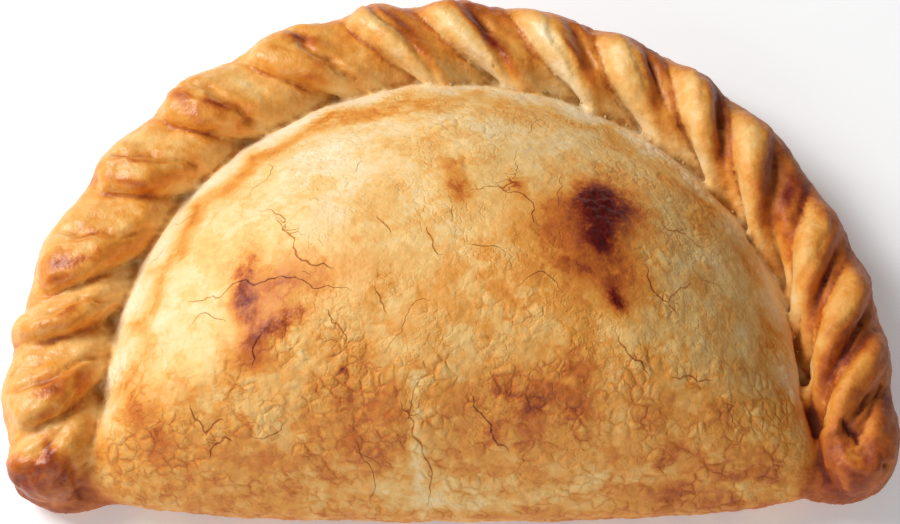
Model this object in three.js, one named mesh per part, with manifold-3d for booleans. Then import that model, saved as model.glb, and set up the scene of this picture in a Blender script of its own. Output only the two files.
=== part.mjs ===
// A baked half-moon empanada in one piece: a round of dough folded over its filling, with the
// open edge rolled up and pinched into a rope of overlapping folds. It lies on its flat underside,
// the plain fold to the front (-Y), the rope round both sides and the back. Millimetres, +Z up.
import * as THREE from "three";
import { mergeVertices } from "three/addons/utils/BufferGeometryUtils.js";
import Module from "manifold-3d";

// Rolled edge: a half circle round the back with a short straight leg to each front corner.
const RIM_RADIUS = 70; // centre line of the rolled edge round the back
const RIM_LEG = 11; // from the half circle's ends to the front corners
const ROPE_RADIUS = 7.5; // the rolled edge under its folds
const ROPE_HEIGHT = 10; // its centre line above the base
const ROPE_GIRTH_LEFT = 1.07; // the roll is fuller at the left end
const ROPE_GIRTH_RIGHT = 0.95; // than at the right
const ROPE_END_BLUNTNESS = 14; // how squarely the rolled edge ends: 2 is an ellipse

// Pinched folds, each a ridge that climbs out of the rim's outer side and dives inwards.
const FOLD_COUNT = 18;
const FOLD_FIRST_SHARE = 0.015; // the first fold crosses at this share of the rim's length
const FOLD_LAST_SHARE = 0.975; // and the last at this
const FOLD_SPACING_SWING = 0.23; // folds are this share wider apart behind the left shoulder
const FOLD_SPACING_PHASE = 0.11; // turns by which that widest place lies left of the middle
const FOLD_LEAN_LEFT = 13; // how far a fold runs along the rim as it crosses it, at the left
const FOLD_LEAN_RIGHT = 36; // and at the right
const FOLD_OVERRUN = 3; // no fold runs further than this past the rim's right end
const FOLD_WIDTH_LEFT = 11;
const FOLD_WIDTH_RIGHT = 7.6;
const FOLD_THICKNESS = 6.8;
const FOLD_SINK = 1.3; // the ridge's own centre line lies this far inside the rolled edge
const FOLD_OUTER_ANGLE = THREE.MathUtils.degToRad(-40); // round the rolled edge, 0 is outwards
const FOLD_INNER_ANGLE = THREE.MathUtils.degToRad(204); // and 90 degrees is up
const FOLD_TAPER = 0.5; // 1 is a pointed spindle, 0 a sausage of even thickness
const FOLD_UNEVENNESS = 0.16; // share by which sizes and leans vary from fold to fold

// Heels: the gathered lumps of dough at the two front corners.
const HEEL_SIZE = new THREE.Vector3(11, 10, 8); // half sizes across, along and up
const HEEL_SETBACK = 2.4; // behind the end of the rim's straight leg
const HEEL_INSET = 1.8; // towards the middle from the rim's centre line

// Filled body: a pillow, highest behind the half circle's centre.
const BODY_OVERLAP = 5.2; // the body's edge lies this far inside the rim's centre line
const FRONT_REACH = 18.6; // from the half circle's centre to the body's front corners
const FRONT_BOW = 2.4; // the front edge lies this much further forward in the middle
const FRONT_HALF_WIDTH = 73; // the body widens under the heels at its front corners
const FRONT_SQUARENESS = 5; // exponent of the front outline's corners: 2 is an ellipse
const CROWN_SQUARENESS = 2; // the same at the crown, so that no hip runs up from the corners
const SQUARENESS_FADE = 3; // how soon the corners round off on the way up: 1 is evenly
const CROWN_HEIGHT = 40;
const CROWN_SETBACK = 15; // the crown lies this far behind the half circle's centre
const EDGE_HEIGHT = 9; // the widest level of the pillow
const FULLNESS = 2.6; // 2 is an even dome, more is flatter on top and steeper at the edge
const BASE_INSET = 0.09; // share of the way to the crown by which the flat underside is set in

// Low relief: the crust rises and sinks a little over the filling.
const LUMP_COUNT = 30;
const LUMP_HEIGHT = 0.8;
const LUMP_RADIUS = 8;
const LUMP_SPREAD = new THREE.Vector2(56, 42); // half sizes of the area round the crown that has them

// Mesh fineness, as sides round a section and rings along it.
const BODY_SIDES = 76;
const BODY_TOP_RINGS = 15;
const BODY_UNDER_RINGS = 3;
const ROPE_MESH = [12, 72];
const FOLD_MESH = [10, 14];
const HEEL_MESH = [14, 10];

const SEED = 20;
const MERGE_DISTANCE = 1e-3; // vertices closer than this are one

// A small repeatable random source, giving numbers from -1 to 1.
function makeDice(seed) {
  let state = seed;
  return () => {
    state = (state * 1664525 + 1013904223) % 4294967296;
    return (state / 4294967296) * 2 - 1;
  };
}

const UP = new THREE.Vector3(0, 0, 1);

// A closed skin swept along a line: a ball whose pole-to-pole run follows the line.
// place(run, side, lift) gives the point at a share of the run; side and lift are its section's axes.
function sweptBall([sides, rings], place) {
  const ball = new THREE.SphereGeometry(1, sides, rings);
  const position = ball.getAttribute("position");
  const vertex = new THREE.Vector3();
  for (let i = 0; i < position.count; i++) {
    vertex.fromBufferAttribute(position, i);
    const run = Math.acos(THREE.MathUtils.clamp(vertex.y, -1, 1)) / Math.PI;
    const girth = Math.hypot(vertex.x, vertex.z) || 1;
    const moved = place(run, vertex.x / girth, vertex.z / girth);
    position.setXYZ(i, moved.x, moved.y, moved.z);
  }
  return ball;
}

// The girth of a roll that is even along its run and rounded at both ends, as a share.
function bluntEnds(run) {
  return Math.sqrt(1 - Math.abs(2 * run - 1) ** ROPE_END_BLUNTNESS);
}

// Rim

const rim = new THREE.Path();
rim.moveTo(-RIM_RADIUS, -RIM_LEG);
rim.lineTo(-RIM_RADIUS, 0);
rim.absarc(0, 0, RIM_RADIUS, Math.PI, 0, true);
rim.lineTo(RIM_RADIUS, -RIM_LEG);
const RIM_LENGTH = rim.getLength();

// The rim at a distance along it: centre point, outward side and girth. Past an end it runs on straight.
function rimAt(distance) {
  const share = THREE.MathUtils.clamp(distance / RIM_LENGTH, 0, 1);
  const point = rim.getPointAt(share);
  const heading = rim.getTangentAt(share);
  point.addScaledVector(heading, distance - share * RIM_LENGTH);
  return {
    centre: new THREE.Vector3(point.x, point.y, ROPE_HEIGHT),
    outward: new THREE.Vector3(-heading.y, heading.x, 0),
    girth: THREE.MathUtils.lerp(ROPE_GIRTH_LEFT, ROPE_GIRTH_RIGHT, share),
  };
}

// The rolled edge itself, rounded at both ends.
function rolledEdge() {
  return sweptBall(ROPE_MESH, (run, side, lift) => {
    const distance = run * (RIM_LENGTH + 2 * ROPE_RADIUS) - ROPE_RADIUS;
    const { centre, outward, girth } = rimAt(distance);
    const radius = ROPE_RADIUS * girth * bluntEnds(run);
    return centre
      .addScaledVector(outward, radius * side)
      .addScaledVector(UP, radius * lift);
  });
}

// Where fold number i crosses the rim, as a distance along it.
function foldDistance(i) {
  const even = i / (FOLD_COUNT - 1);
  const turn = 2 * Math.PI;
  const wave =
    Math.sin(turn * (even + FOLD_SPACING_PHASE)) -
    Math.sin(turn * FOLD_SPACING_PHASE);
  const spaced = even - (FOLD_SPACING_SWING / turn) * wave;
  return RIM_LENGTH * THREE.MathUtils.lerp(FOLD_FIRST_SHARE, FOLD_LAST_SHARE, spaced);
}

// One pinched fold: a tapered ridge laid slantwise over the rolled edge.
function pinchedFold(i, dice) {
  const middle = foldDistance(i);
  const leftToRight = (left, right) =>
    THREE.MathUtils.lerp(left, right, middle / RIM_LENGTH);
  const vary = () => 1 + FOLD_UNEVENNESS * dice();
  const lean = Math.min(
    leftToRight(FOLD_LEAN_LEFT, FOLD_LEAN_RIGHT) * vary(),
    2 * (RIM_LENGTH + FOLD_OVERRUN - middle),
  );
  const halfWidth = (leftToRight(FOLD_WIDTH_LEFT, FOLD_WIDTH_RIGHT) / 2) * vary();
  const halfThickness = (FOLD_THICKNESS / 2) * vary();
  const beside = (run) => rimAt(middle + lean * (run - 0.5));
  const ridge = (run) => {
    const { centre, outward, girth } = beside(run);
    const angle = THREE.MathUtils.lerp(FOLD_OUTER_ANGLE, FOLD_INNER_ANGLE, run);
    const radius = ROPE_RADIUS * girth - FOLD_SINK;
    return centre
      .addScaledVector(outward, radius * Math.cos(angle))
      .addScaledVector(UP, radius * Math.sin(angle));
  };
  const step = 0.01;
  return sweptBall(FOLD_MESH, (run, side, lift) => {
    const point = ridge(run);
    const heading = ridge(run + step)
      .sub(ridge(run - step))
      .normalize();
    const outOfRim = point.clone().sub(beside(run).centre);
    const across = outOfRim.cross(heading).normalize();
    const proud = heading.clone().cross(across);
    const girth = Math.sin(Math.PI * run) ** FOLD_TAPER;
    return point
      .addScaledVector(across, halfWidth * girth * side)
      .addScaledVector(proud, halfThickness * girth * lift);
  });
}

// The lump at a front corner, at distance 0 or RIM_LENGTH along the rim.
function heel(distance) {
  const { centre } = rimAt(distance);
  const lump = new THREE.SphereGeometry(1, ...HEEL_MESH);
  lump.rotateX(Math.PI / 2);
  lump.scale(HEEL_SIZE.x, HEEL_SIZE.y, HEEL_SIZE.z);
  const inset = HEEL_INSET * Math.sign(centre.x);
  lump.translate(centre.x - inset, centre.y + HEEL_SETBACK, HEEL_SIZE.z);
  return lump;
}

// Body

// How far the body's outline lies from the crown, in the direction of a plan angle, with its front
// corners as square as the exponent says.
function bodyReach(angle, corner) {
  const halfWidth = RIM_RADIUS - BODY_OVERLAP;
  const isOutside = (reach) => {
    const x = Math.abs(reach * Math.cos(angle));
    const y = CROWN_SETBACK + reach * Math.sin(angle);
    if (y > 0) return Math.hypot(x, y) > halfWidth;
    const widening = THREE.MathUtils.smoothstep(-y, 0, FRONT_REACH);
    const side = x / THREE.MathUtils.lerp(halfWidth, FRONT_HALF_WIDTH, widening);
    const front = -y / (FRONT_REACH + FRONT_BOW * Math.max(1 - side * side, 0));
    return side ** corner + front ** corner > 1;
  };
  let near = 0;
  let far = 2 * halfWidth;
  while (far - near > MERGE_DISTANCE / 10) {
    const half = (near + far) / 2;
    if (isOutside(half)) far = half;
    else near = half;
  }
  return far;
}

// Broad lumps and hollows of the crust, scattered over the body by a seeded draw.
function scatterLumps(dice) {
  return Array.from({ length: LUMP_COUNT }, () => ({
    x: LUMP_SPREAD.x * dice(),
    y: CROWN_SETBACK + LUMP_SPREAD.y * dice(),
    height: LUMP_HEIGHT * dice(),
  }));
}

function lumpHeight(lumps, x, y) {
  return lumps.reduce((sum, lump) => {
    const away = Math.hypot(x - lump.x, y - lump.y) / LUMP_RADIUS;
    return sum + lump.height * Math.exp(-away * away);
  }, 0);
}

// The profile of the body before it is drawn out: across, a share of the reach; up, -1 at the base,
// 0 at the widest level and 1 at the crown.
function bodyProfile() {
  const profile = [new THREE.Vector2(0, -1)];
  for (let i = 0; i <= BODY_UNDER_RINGS; i++) {
    const turn = (i / BODY_UNDER_RINGS) * (Math.PI / 2);
    const inset = BASE_INSET * (1 - Math.sin(turn));
    profile.push(new THREE.Vector2(1 - inset, -Math.cos(turn)));
  }
  for (let i = 1; i <= BODY_TOP_RINGS; i++) {
    const share = Math.sqrt(1 - i / BODY_TOP_RINGS);
    profile.push(new THREE.Vector2(share, 1 - share ** FULLNESS));
  }
  return profile;
}

// The filled body: a lathe of unit size, drawn out to the half-moon outline and lumped a little.
function filledBody(dice) {
  const lumps = scatterLumps(dice);
  const body = new THREE.LatheGeometry(bodyProfile(), BODY_SIDES);
  body.rotateX(Math.PI / 2);
  const position = body.getAttribute("position");
  for (let i = 0; i < position.count; i++) {
    const share = Math.hypot(position.getX(i), position.getY(i));
    const angle = Math.atan2(position.getY(i), position.getX(i));
    const level = position.getZ(i);
    const corner = THREE.MathUtils.lerp(
      CROWN_SQUARENESS,
      FRONT_SQUARENESS,
      share ** SQUARENESS_FADE,
    );
    const reach = share * bodyReach(angle, corner);
    const x = reach * Math.cos(angle);
    const y = CROWN_SETBACK + reach * Math.sin(angle);
    const swell = Math.max(level, 0);
    const drop = Math.min(level, 0);
    const z =
      EDGE_HEIGHT * (1 + drop) +
      (CROWN_HEIGHT - EDGE_HEIGHT + lumpHeight(lumps, x, y)) * swell;
    position.setXYZ(i, x, y, z);
  }
  return body;
}

// Joining

const wasm = await Module();
wasm.setup();

function toSolid(geometry) {
  const bare = geometry.clone();
  bare.deleteAttribute("normal");
  bare.deleteAttribute("uv");
  const merged = mergeVertices(bare, MERGE_DISTANCE);
  return new wasm.Manifold(
    new wasm.Mesh({
      numProp: 3,
      vertProperties: merged.getAttribute("position").array,
      triVerts: new Uint32Array(merged.index.array),
    }),
  );
}

function toGeometry(solid) {
  const { vertProperties, triVerts } = solid.getMesh();
  const geometry = new THREE.BufferGeometry();
  geometry.setAttribute(
    "position",
    new THREE.BufferAttribute(vertProperties, 3),
  );
  geometry.setIndex(new THREE.BufferAttribute(triVerts, 1));
  return geometry;
}

function bakedPastry() {
  const dice = makeDice(SEED);
  const pieces = [
    filledBody(dice),
    rolledEdge(),
    heel(0),
    heel(RIM_LENGTH),
  ];
  for (let i = 0; i < FOLD_COUNT; i++) pieces.push(pinchedFold(i, dice));
  const joined = pieces
    .map(toSolid)
    .reduce((whole, piece) => whole.add(piece));
  const geometry = toGeometry(joined);
  // The origin is the middle of the underside.
  geometry.computeBoundingBox();
  const middle = geometry.boundingBox.getCenter(new THREE.Vector3());
  geometry.translate(-middle.x, -middle.y, -geometry.boundingBox.min.z);
  geometry.computeVertexNormals();
  return geometry;
}

const crust = new THREE.MeshStandardMaterial({
  color: 0xd9a05a,
  roughness: 0.55,
  metalness: 0,
});

const empanada = new THREE.Mesh(bakedPastry(), crust);
empanada.name = "empanada";

const part = new THREE.Group();
part.add(empanada);

export default part;
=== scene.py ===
"""A baked half-moon empanada: a domed, crazed crust with a thick edge rolled and pinched into a rope.

The crust is modelled as a cook makes it. A ball of dough is drawn out into a half-moon pillow, a sheet is
rolled up along the rim and pinched into slanting folds, the ends are tucked in at the front corners, and
all of it bakes into one skin, which then blisters, wrinkles and browns.
"""

import logging
import math
from dataclasses import dataclass, field
from enum import Enum
from typing import Any

import bpy
import numpy as np
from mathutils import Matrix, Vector, noise


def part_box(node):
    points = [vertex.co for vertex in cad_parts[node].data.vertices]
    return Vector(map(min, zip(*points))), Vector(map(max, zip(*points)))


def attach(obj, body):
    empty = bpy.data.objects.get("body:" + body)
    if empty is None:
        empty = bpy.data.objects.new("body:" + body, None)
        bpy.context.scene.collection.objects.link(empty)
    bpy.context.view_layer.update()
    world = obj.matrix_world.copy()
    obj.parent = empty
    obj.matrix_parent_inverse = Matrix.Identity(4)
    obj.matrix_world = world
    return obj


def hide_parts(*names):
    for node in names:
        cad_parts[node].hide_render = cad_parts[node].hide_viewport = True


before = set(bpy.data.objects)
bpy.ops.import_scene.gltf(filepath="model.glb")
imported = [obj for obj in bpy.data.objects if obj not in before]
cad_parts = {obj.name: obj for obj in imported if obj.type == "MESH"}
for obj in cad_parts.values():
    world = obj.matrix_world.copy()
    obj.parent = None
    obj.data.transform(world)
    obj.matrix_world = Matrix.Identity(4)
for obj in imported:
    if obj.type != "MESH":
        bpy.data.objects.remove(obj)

LOG = logging.getLogger("empanada")
MM = 0.001
NODE = "empanada"
BODY = "root"
SEED = 20
MERGE_GAP = 0.002 * MM
SECTION_GAP = 1e-9
FOLD_GAP = 1e-6
FRONT_DEPTH = 21 * MM
WHITE = (1.0, 1.0, 1.0, 1.0)

Pair = tuple[float, float]
Triple = tuple[float, float, float]
Array = np.ndarray
Piece = bpy.types.Object
Socket = bpy.types.NodeSocket


class Dice:
    """A small repeatable random source, giving numbers from -1 to 1."""

    factor = 1664525
    shift = 1013904223
    span = 2**32

    def __init__(self, seed: int) -> None:
        """Start the source from a whole number."""
        self._state = seed

    def roll(self) -> float:
        """Give the next number."""
        self._state = (self._state * self.factor + self.shift) % self.span
        return 2 * self._state / self.span - 1


# Helpers on arrays and meshes


def smooth_step(low: float, high: float, value: Array) -> Array:
    """Ease from 0 at low to 1 at high; low may be the larger of the two."""
    share = np.clip((value - low) / (high - low), 0, 1)
    return share * share * (3 - 2 * share)


def mix(low: Any, high: Any, share: Any) -> Any:
    """Go from low to high by a share."""
    return low + (high - low) * share


def bell(value: Any, middle: Any, width: Any) -> Any:
    """Rise to 1 at a middle and fall to 0 on both sides of it."""
    return np.exp(-(((value - middle) / width) ** 2))


def read_rows(piece: Piece, kind: str) -> Array:
    """Read one of the vectors that a mesh keeps at its vertices.

    Args:
        piece: The object with the mesh.
        kind: The vector's name in the mesh.

    Returns:
        Rows of x, y, z.
    """
    rows = np.empty(len(piece.data.vertices) * 3)
    piece.data.vertices.foreach_get(kind, rows)
    return rows.reshape(-1, 3)


def read_points(piece: Piece) -> Array:
    """Give a mesh's vertices as rows of x, y, z."""
    return read_rows(piece, "co")


def read_normals(piece: Piece) -> Array:
    """Give the normals at a mesh's vertices as rows of x, y, z."""
    return read_rows(piece, "normal")


def write_points(piece: Piece, points: Array) -> None:
    """Move a mesh's vertices to rows of x, y, z."""
    piece.data.vertices.foreach_set("co", points.ravel())
    piece.data.update()


def write_field(piece: Piece, name: str, values: Array) -> None:
    """Store one number for each vertex, which a material can read by name."""
    layer = piece.data.attributes.new(name, "FLOAT", "POINT")
    layer.data.foreach_set("value", values.astype(np.float32))


def hollows(piece: Piece, rounds: int) -> Array:
    """Measure how far a mesh's vertices lie below the skin around them.

    Args:
        piece: The mesh.
        rounds: How often the skin is smoothed to compare with; more rounds look further round.

    Returns:
        Each vertex's depth, above 0 in hollows and below 0 on crests.
    """
    points = read_points(piece)
    edges = np.empty(len(piece.data.edges) * 2, dtype=int)
    piece.data.edges.foreach_get("vertices", edges)
    first, second = edges.reshape(-1, 2).T
    count = np.bincount(edges, minlength=len(points))
    smooth = points.T.copy()
    for _ in range(rounds):
        for row in smooth:
            around = np.bincount(first, row[second], len(points))
            around += np.bincount(second, row[first], len(points))
            row += (around / count - row) / 2
    return np.einsum("ij,ij->i", smooth.T - points, read_normals(piece))


def select_only(*pieces: Piece) -> None:
    """Select these pieces and nothing else, the first of them active."""
    bpy.ops.object.select_all(action="DESELECT")
    for piece in pieces:
        piece.select_set(True)
    bpy.context.view_layer.objects.active = pieces[0]


def newest(name: str) -> Piece:
    """Name the piece that was just made.

    Args:
        name: Its new name.

    Returns:
        The piece.
    """
    piece = bpy.context.active_object
    piece.name = name
    return piece


def merge_doubles(piece: Piece) -> None:
    """Close a mesh's seams and poles, and turn its faces outwards.

    Args:
        piece: The object with the mesh.
    """
    select_only(piece)
    bpy.ops.object.mode_set(mode="EDIT")
    bpy.ops.mesh.select_all(action="SELECT")
    bpy.ops.mesh.remove_doubles(threshold=MERGE_GAP)
    bpy.ops.mesh.normals_make_consistent(inside=False)
    bpy.ops.object.mode_set(mode="OBJECT")


def apply_modifier(piece: Piece, kind: str, **settings: Any) -> None:
    """Add a modifier to a piece, set it and apply it.

    Args:
        piece: The object that it changes.
        kind: The modifier's type.
        settings: Its settings by name.
    """
    select_only(piece)
    modifier = piece.modifiers.new(kind.lower(), kind)
    for name, value in settings.items():
        setattr(modifier, name, value)
    bpy.ops.object.modifier_apply(modifier=modifier.name)


# Shape


@dataclass(frozen=True)
class Rim:
    """Centre line of the rolled edge: a half circle round the back and a leg to each front corner."""

    middle: Pair
    radius: float = 70 * MM
    leg: float = 11 * MM
    height: float = 10.8 * MM

    @property
    def length(self) -> float:
        """The line's length from corner to corner."""
        return math.pi * self.radius + 2 * self.leg

    def place(self, run: Array) -> tuple[Array, Array]:
        """Find points on the line, which runs on straight past its ends.

        Args:
            run: Distances along the line from the left front corner.

        Returns:
            The points and the outward directions there, both in plan.
        """
        turn = np.clip((run - self.leg) / self.radius, 0, math.pi)
        beyond = run - self.leg - turn * self.radius
        outward = np.stack([-np.cos(turn), np.sin(turn)], axis=-1)
        along = np.stack([np.sin(turn), np.cos(turn)], axis=-1)
        return np.array(self.middle) + self.radius * outward + beyond[:, None] * along, outward

    def locate(self, points: Array) -> tuple[Array, Array, Array]:
        """Find where points lie beside the line.

        Args:
            points: Rows of x, y, z.

        Returns:
            The distance along the line, the angle round it (0 is outwards, a quarter turn is up,
            from a quarter turn below outwards) and the distance from it.
        """
        x, y = (points[:, :2] - np.array(self.middle)).T
        is_round = y > 0
        turn = np.where(is_round, np.arctan2(y, -x), np.where(x < 0, 0, math.pi))
        beyond = np.where(is_round, 0, np.where(x < 0, y, -y))
        run = self.leg + turn * self.radius + beyond
        outward = np.where(is_round, np.hypot(x, y), np.abs(x)) - self.radius
        upward = points[:, 2] - self.height
        angle = np.arctan2(upward, outward)
        angle = np.where(angle < -math.pi / 2, angle + 2 * math.pi, angle)
        return run, angle, np.hypot(outward, upward)


@dataclass(frozen=True)
class FoldPlace:
    """Where points of the rope lie on its folds."""

    number: Array
    across: Array
    turn: Array
    height: Array


@dataclass
class PinchedFolds:
    """The folds pinched slantwise over the rolled edge, each lapping over the one before it.

    A fold starts with a rounded lip that stands up from the fold before, swells to a crest just behind the
    lip and slopes down until it runs in under the next lip. At the right the crest is a round ridge of its
    own with a hollow behind it. Outwards the lips fade into soft waves, and inwards the folds end in toes.
    Each lip is given by its place along the rim and by how far it leans over the slant's turn, in
    millimetres, and each section by places along a fold and heights.
    """

    rim: Rim
    dice: Dice
    lips: tuple[Pair, ...] = (
        (-42.0, 6.0), (-25.0, 6.0), (-9.5, 7.0), (5.3, 7.4), (20.6, 6.0), (30.6, 10.5), (50.2, 6.6),
        (67.2, 7.2), (86.0, 9.5), (104.8, 8.6), (118.6, 11.0), (135.6, 12.5), (149.8, 9.8), (165.4, 13.0),
        (178.6, 13.7), (198.4, 11.6), (212.8, 13.6), (226.0, 15.2), (239.0, 16.8), (268.0, 16.0),
        (284.0, 16.0), (300.0, 16.0),
    )
    slant_turn: float = math.radians(100)
    sweep: float = 1.2 * MM
    rise: float = 4.0 * MM
    outer_rise: Pair = (0.36, 0.2)
    ridge_length: float = 12.0 * MM
    ridge_shares: Pair = (0.4, 0.84)
    narrowing: float = 0.35
    narrowing_angles: Pair = (math.radians(100), math.radians(70))
    unevenness: float = 0.14
    wave_lead: float = 0.05
    lip_angles: Pair = (math.radians(18), math.radians(72))
    outer_angles: Pair = (math.radians(-70), math.radians(-15))
    inner_angles: Pair = (math.radians(225), math.radians(180))
    toe_angles: Pair = (math.radians(98), math.radians(136))
    toe_base: Pair = (0.05, 0.2)
    toe_rise: Pair = (0.9, 1.35)
    toe_bulge: Pair = (0.6, 0.9)
    back_shares: Pair = (0.5, 0.14)
    run_on_shares: Pair = (0.62, 0.74)
    run_on: float = 0.8
    crease_depth: float = 1.5 * MM
    crease_width: float = 0.055
    crease_place: Pair = (0.46, 0.1)
    crease_waves: tuple[Triple, ...] = ((0.05, 3.1, 2.3), (0.03, 7.3, 1.7))
    crease_flanks: Pair = (3.0, 0.5)
    crease_start: Pair = (math.radians(20), math.radians(55))
    crease_end: Pair = (math.radians(160), math.radians(125))
    right_crease: float = 0.3
    left_section: tuple[Pair, ...] = (
        (0.02, -0.05), (0.005, 0.16), (0.0, 0.42), (0.035, 0.74), (0.12, 0.95), (0.24, 1.0), (0.38, 0.95),
        (0.52, 0.72), (0.66, 0.42), (0.81, 0.25), (0.96, 0.08),
    )
    right_section: tuple[Pair, ...] = (
        (0.0, 0.24), (0.06, 0.48), (0.13, 0.8), (0.23, 1.0), (0.34, 1.0), (0.44, 0.82), (0.51, 0.44),
        (0.55, 0.12), (0.59, 0.02), (0.66, 0.12), (0.76, 0.26), (0.88, 0.28),
    )
    ridge_foot: float = 0.59
    section_shares: Pair = (0.36, 0.6)
    runs: Array = field(init=False)
    slants: Array = field(init=False)
    rises: Array = field(init=False)
    creases: Array = field(init=False)

    def __post_init__(self) -> None:
        """Set out the lips along the rim and draw each fold's own size."""
        table = np.array(self.lips)
        self.runs = table[:, 0] * MM
        self.slants = table[:, 1] * MM / self.slant_turn
        self.rises = np.array([self.rise * (1 + self.unevenness * self.dice.roll()) for _ in self.lips])
        middle, swing = self.crease_place
        self.creases = np.array([middle + swing * self.dice.roll() for _ in self.lips])

    def lip(self, number: Any, angle: Array) -> Array:
        """Find how far along the rim a fold's lip lies at angles round the roll."""
        turn = angle - math.pi / 2
        return self.runs[number] + self.slants[number] * turn + self.sweep * turn * turn

    def roundness(self, number: Array) -> Array:
        """Give how far folds have the right side's section, from 0 at the left to 1."""
        return smooth_step(*self.section_shares, self.runs[number] / self.rim.length)

    def sharpness(self, angle: Array) -> Array:
        """Give how far the lips stand out, from 0 on the outer side to 1 over the top."""
        return smooth_step(*self.lip_angles, angle)

    def section_at(self, number: Array, share: Array, angle: Array) -> tuple[Array, Array]:
        """Follow the folds' section, from under one lip to under the next.

        Args:
            number: The folds.
            share: Places along the section's own length, 0 to 1.
            angle: Angles round the roll.

        Returns:
            The shift along the rim, in folds, and the height, in rises.
        """
        left = self._spline(np.array(self.left_section), share)
        right = self._spline(np.array(self.right_section), share)
        right[:, 0] = self.stretch(number, right[:, 0])
        curve = mix(left, right, self.roundness(number)[:, None])
        curve[:, 0] = np.clip(curve[:, 0], 0, 1) ** self.pinch(angle)
        wave = np.column_stack([share + self.wave_lead, self.wave(share)])
        curve = mix(wave, curve, self.sharpness(angle)[:, None])
        toe = np.column_stack([share, self.toe(number, share)])
        curve = mix(curve, toe, self.toe_share(number, angle)[:, None])
        return curve[:, 0], curve[:, 1]

    @staticmethod
    def wave(share: Array) -> Array:
        """Give the height of a soft wave, from 0 at a fold's edges to 1 in its middle."""
        return 0.5 - 0.5 * np.cos(2 * math.pi * share)

    def pinch(self, angle: Array) -> Array:
        """Give the exponent that narrows the ridges outwards."""
        start, span = self.narrowing_angles
        return 1 + self.narrowing * (np.clip(start - angle, 0, None) / span) ** 2

    def toe(self, number: Array, share: Array) -> Array:
        """Shape the rounded toes in which the folds end on the dome, largest at the back.

        Args:
            number: The folds.
            share: Places across them, 0 to 1.

        Returns:
            The toes' height, in rises.
        """
        back = bell(self.runs[number] / self.rim.length, *self.back_shares)
        bulge = np.sin(math.pi * np.clip(share, 0, 1)) ** mix(*self.toe_bulge, back)
        return mix(*self.toe_base, back) + mix(*self.toe_rise, back) * bulge

    def toe_share(self, number: Array, angle: Array) -> Array:
        """Give how far the folds have turned into toes; at the right they run on as ridges."""
        right = smooth_step(*self.run_on_shares, self.runs[number] / self.rim.length)
        return smooth_step(*self.toe_angles, angle) * (1 - self.run_on * right)

    def ridge_share(self, number: Array) -> Array:
        """Give the share of each fold that its ridge takes up."""
        return np.clip(self.ridge_length / (self.runs[number + 1] - self.runs[number]), *self.ridge_shares)

    def stretch(self, number: Array, shift: Array) -> Array:
        """Give the round ridges an even width, and leave the rest of each fold to the hollow behind.

        Args:
            number: The folds.
            shift: Places along the section, 0 to 1.

        Returns:
            Places across the folds, 0 to 1.
        """
        ridge = self.ridge_share(number)
        beyond = ridge + (shift - self.ridge_foot) * (1 - ridge) / (1 - self.ridge_foot)
        return np.where(shift < self.ridge_foot, shift * ridge / self.ridge_foot, beyond)

    def squeeze(self, number: Array, across: Array) -> Array:
        """Turn places across stretched folds back into places on the section.

        Args:
            number: The folds.
            across: Places across them, 0 to 1.

        Returns:
            Places along the section, 0 to 1.
        """
        ridge = self.ridge_share(number)
        beyond = self.ridge_foot + (across - ridge) * (1 - self.ridge_foot) / (1 - ridge)
        return np.where(across < ridge, across * self.ridge_foot / ridge, beyond)

    @staticmethod
    def _spline(knots: Array, share: Array) -> Array:
        """Draw a smooth curve through a section's points, which repeats from fold to fold.

        Args:
            knots: Rows of a place along the fold and a height.
            share: Places along the curve, 0 to 1.

        Returns:
            Rows of a place along the fold and a height.
        """
        ring = np.vstack([knots[-1] - [1, 0], knots, knots[0] + [1, 0], knots[1] + [1, 0]])
        spot = np.clip(share, 0, 1 - SECTION_GAP) * len(knots)
        first = spot.astype(int)
        part = (spot - first)[:, None]
        before, start, end, after = (ring[first + step] for step in range(4))
        bend = 2 * before - 5 * start + 4 * end - after
        turn = 3 * start - before - 3 * end + after
        return start + 0.5 * part * (end - before + part * (bend + part * turn))

    def taper(self, number: Array, angle: Array) -> Array:
        """Fade the folds out under the roll on both sides."""
        over = mix(mix(*self.outer_rise, self.roundness(number)), 1, self.sharpness(angle))
        return over * smooth_step(*self.outer_angles, angle) * smooth_step(*self.inner_angles, angle)

    def crease(self, number: Array, across: Array, angle: Array) -> Array:
        """Press a wandering crease along the back of each fold, steep towards the lip.

        Args:
            number: The folds.
            across: Places across them, 0 to 1.
            angle: Angles round the roll.

        Returns:
            The crease's depth.
        """
        wander = sum(sway * np.sin(turn * angle + shift * number) for sway, turn, shift in self.crease_waves)
        away = (across - self.creases[number] - wander) / self.crease_width
        steep, gentle = self.crease_flanks
        groove = np.exp(-(away**2) * np.where(away < 0, steep, gentle))
        length = smooth_step(*self.crease_start, angle) * smooth_step(*self.crease_end, angle)
        return self.crease_depth * groove * length * mix(1, self.right_crease, self.roundness(number))

    def place(self, run: Array, angle: Array) -> FoldPlace:
        """Find which fold points lie on.

        Args:
            run: Distances along the rim.
            angle: Angles round it.

        Returns:
            Each point's fold, its place across the fold from lip to lip, and the fold's height there.
        """
        number = np.zeros(run.shape, dtype=int)
        for index in range(len(self.runs)):
            number = np.where(run >= self.lip(index, angle), index, number)
        number = np.clip(number, 0, len(self.runs) - 2)
        near, far = self.lip(number, angle), self.lip(number + 1, angle)
        share = np.clip((run - near) / (far - near), 0, 1)
        across = share ** (1 / self.pinch(angle))
        round_share = self.roundness(number)
        on_right = self.squeeze(number, across)
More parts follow.
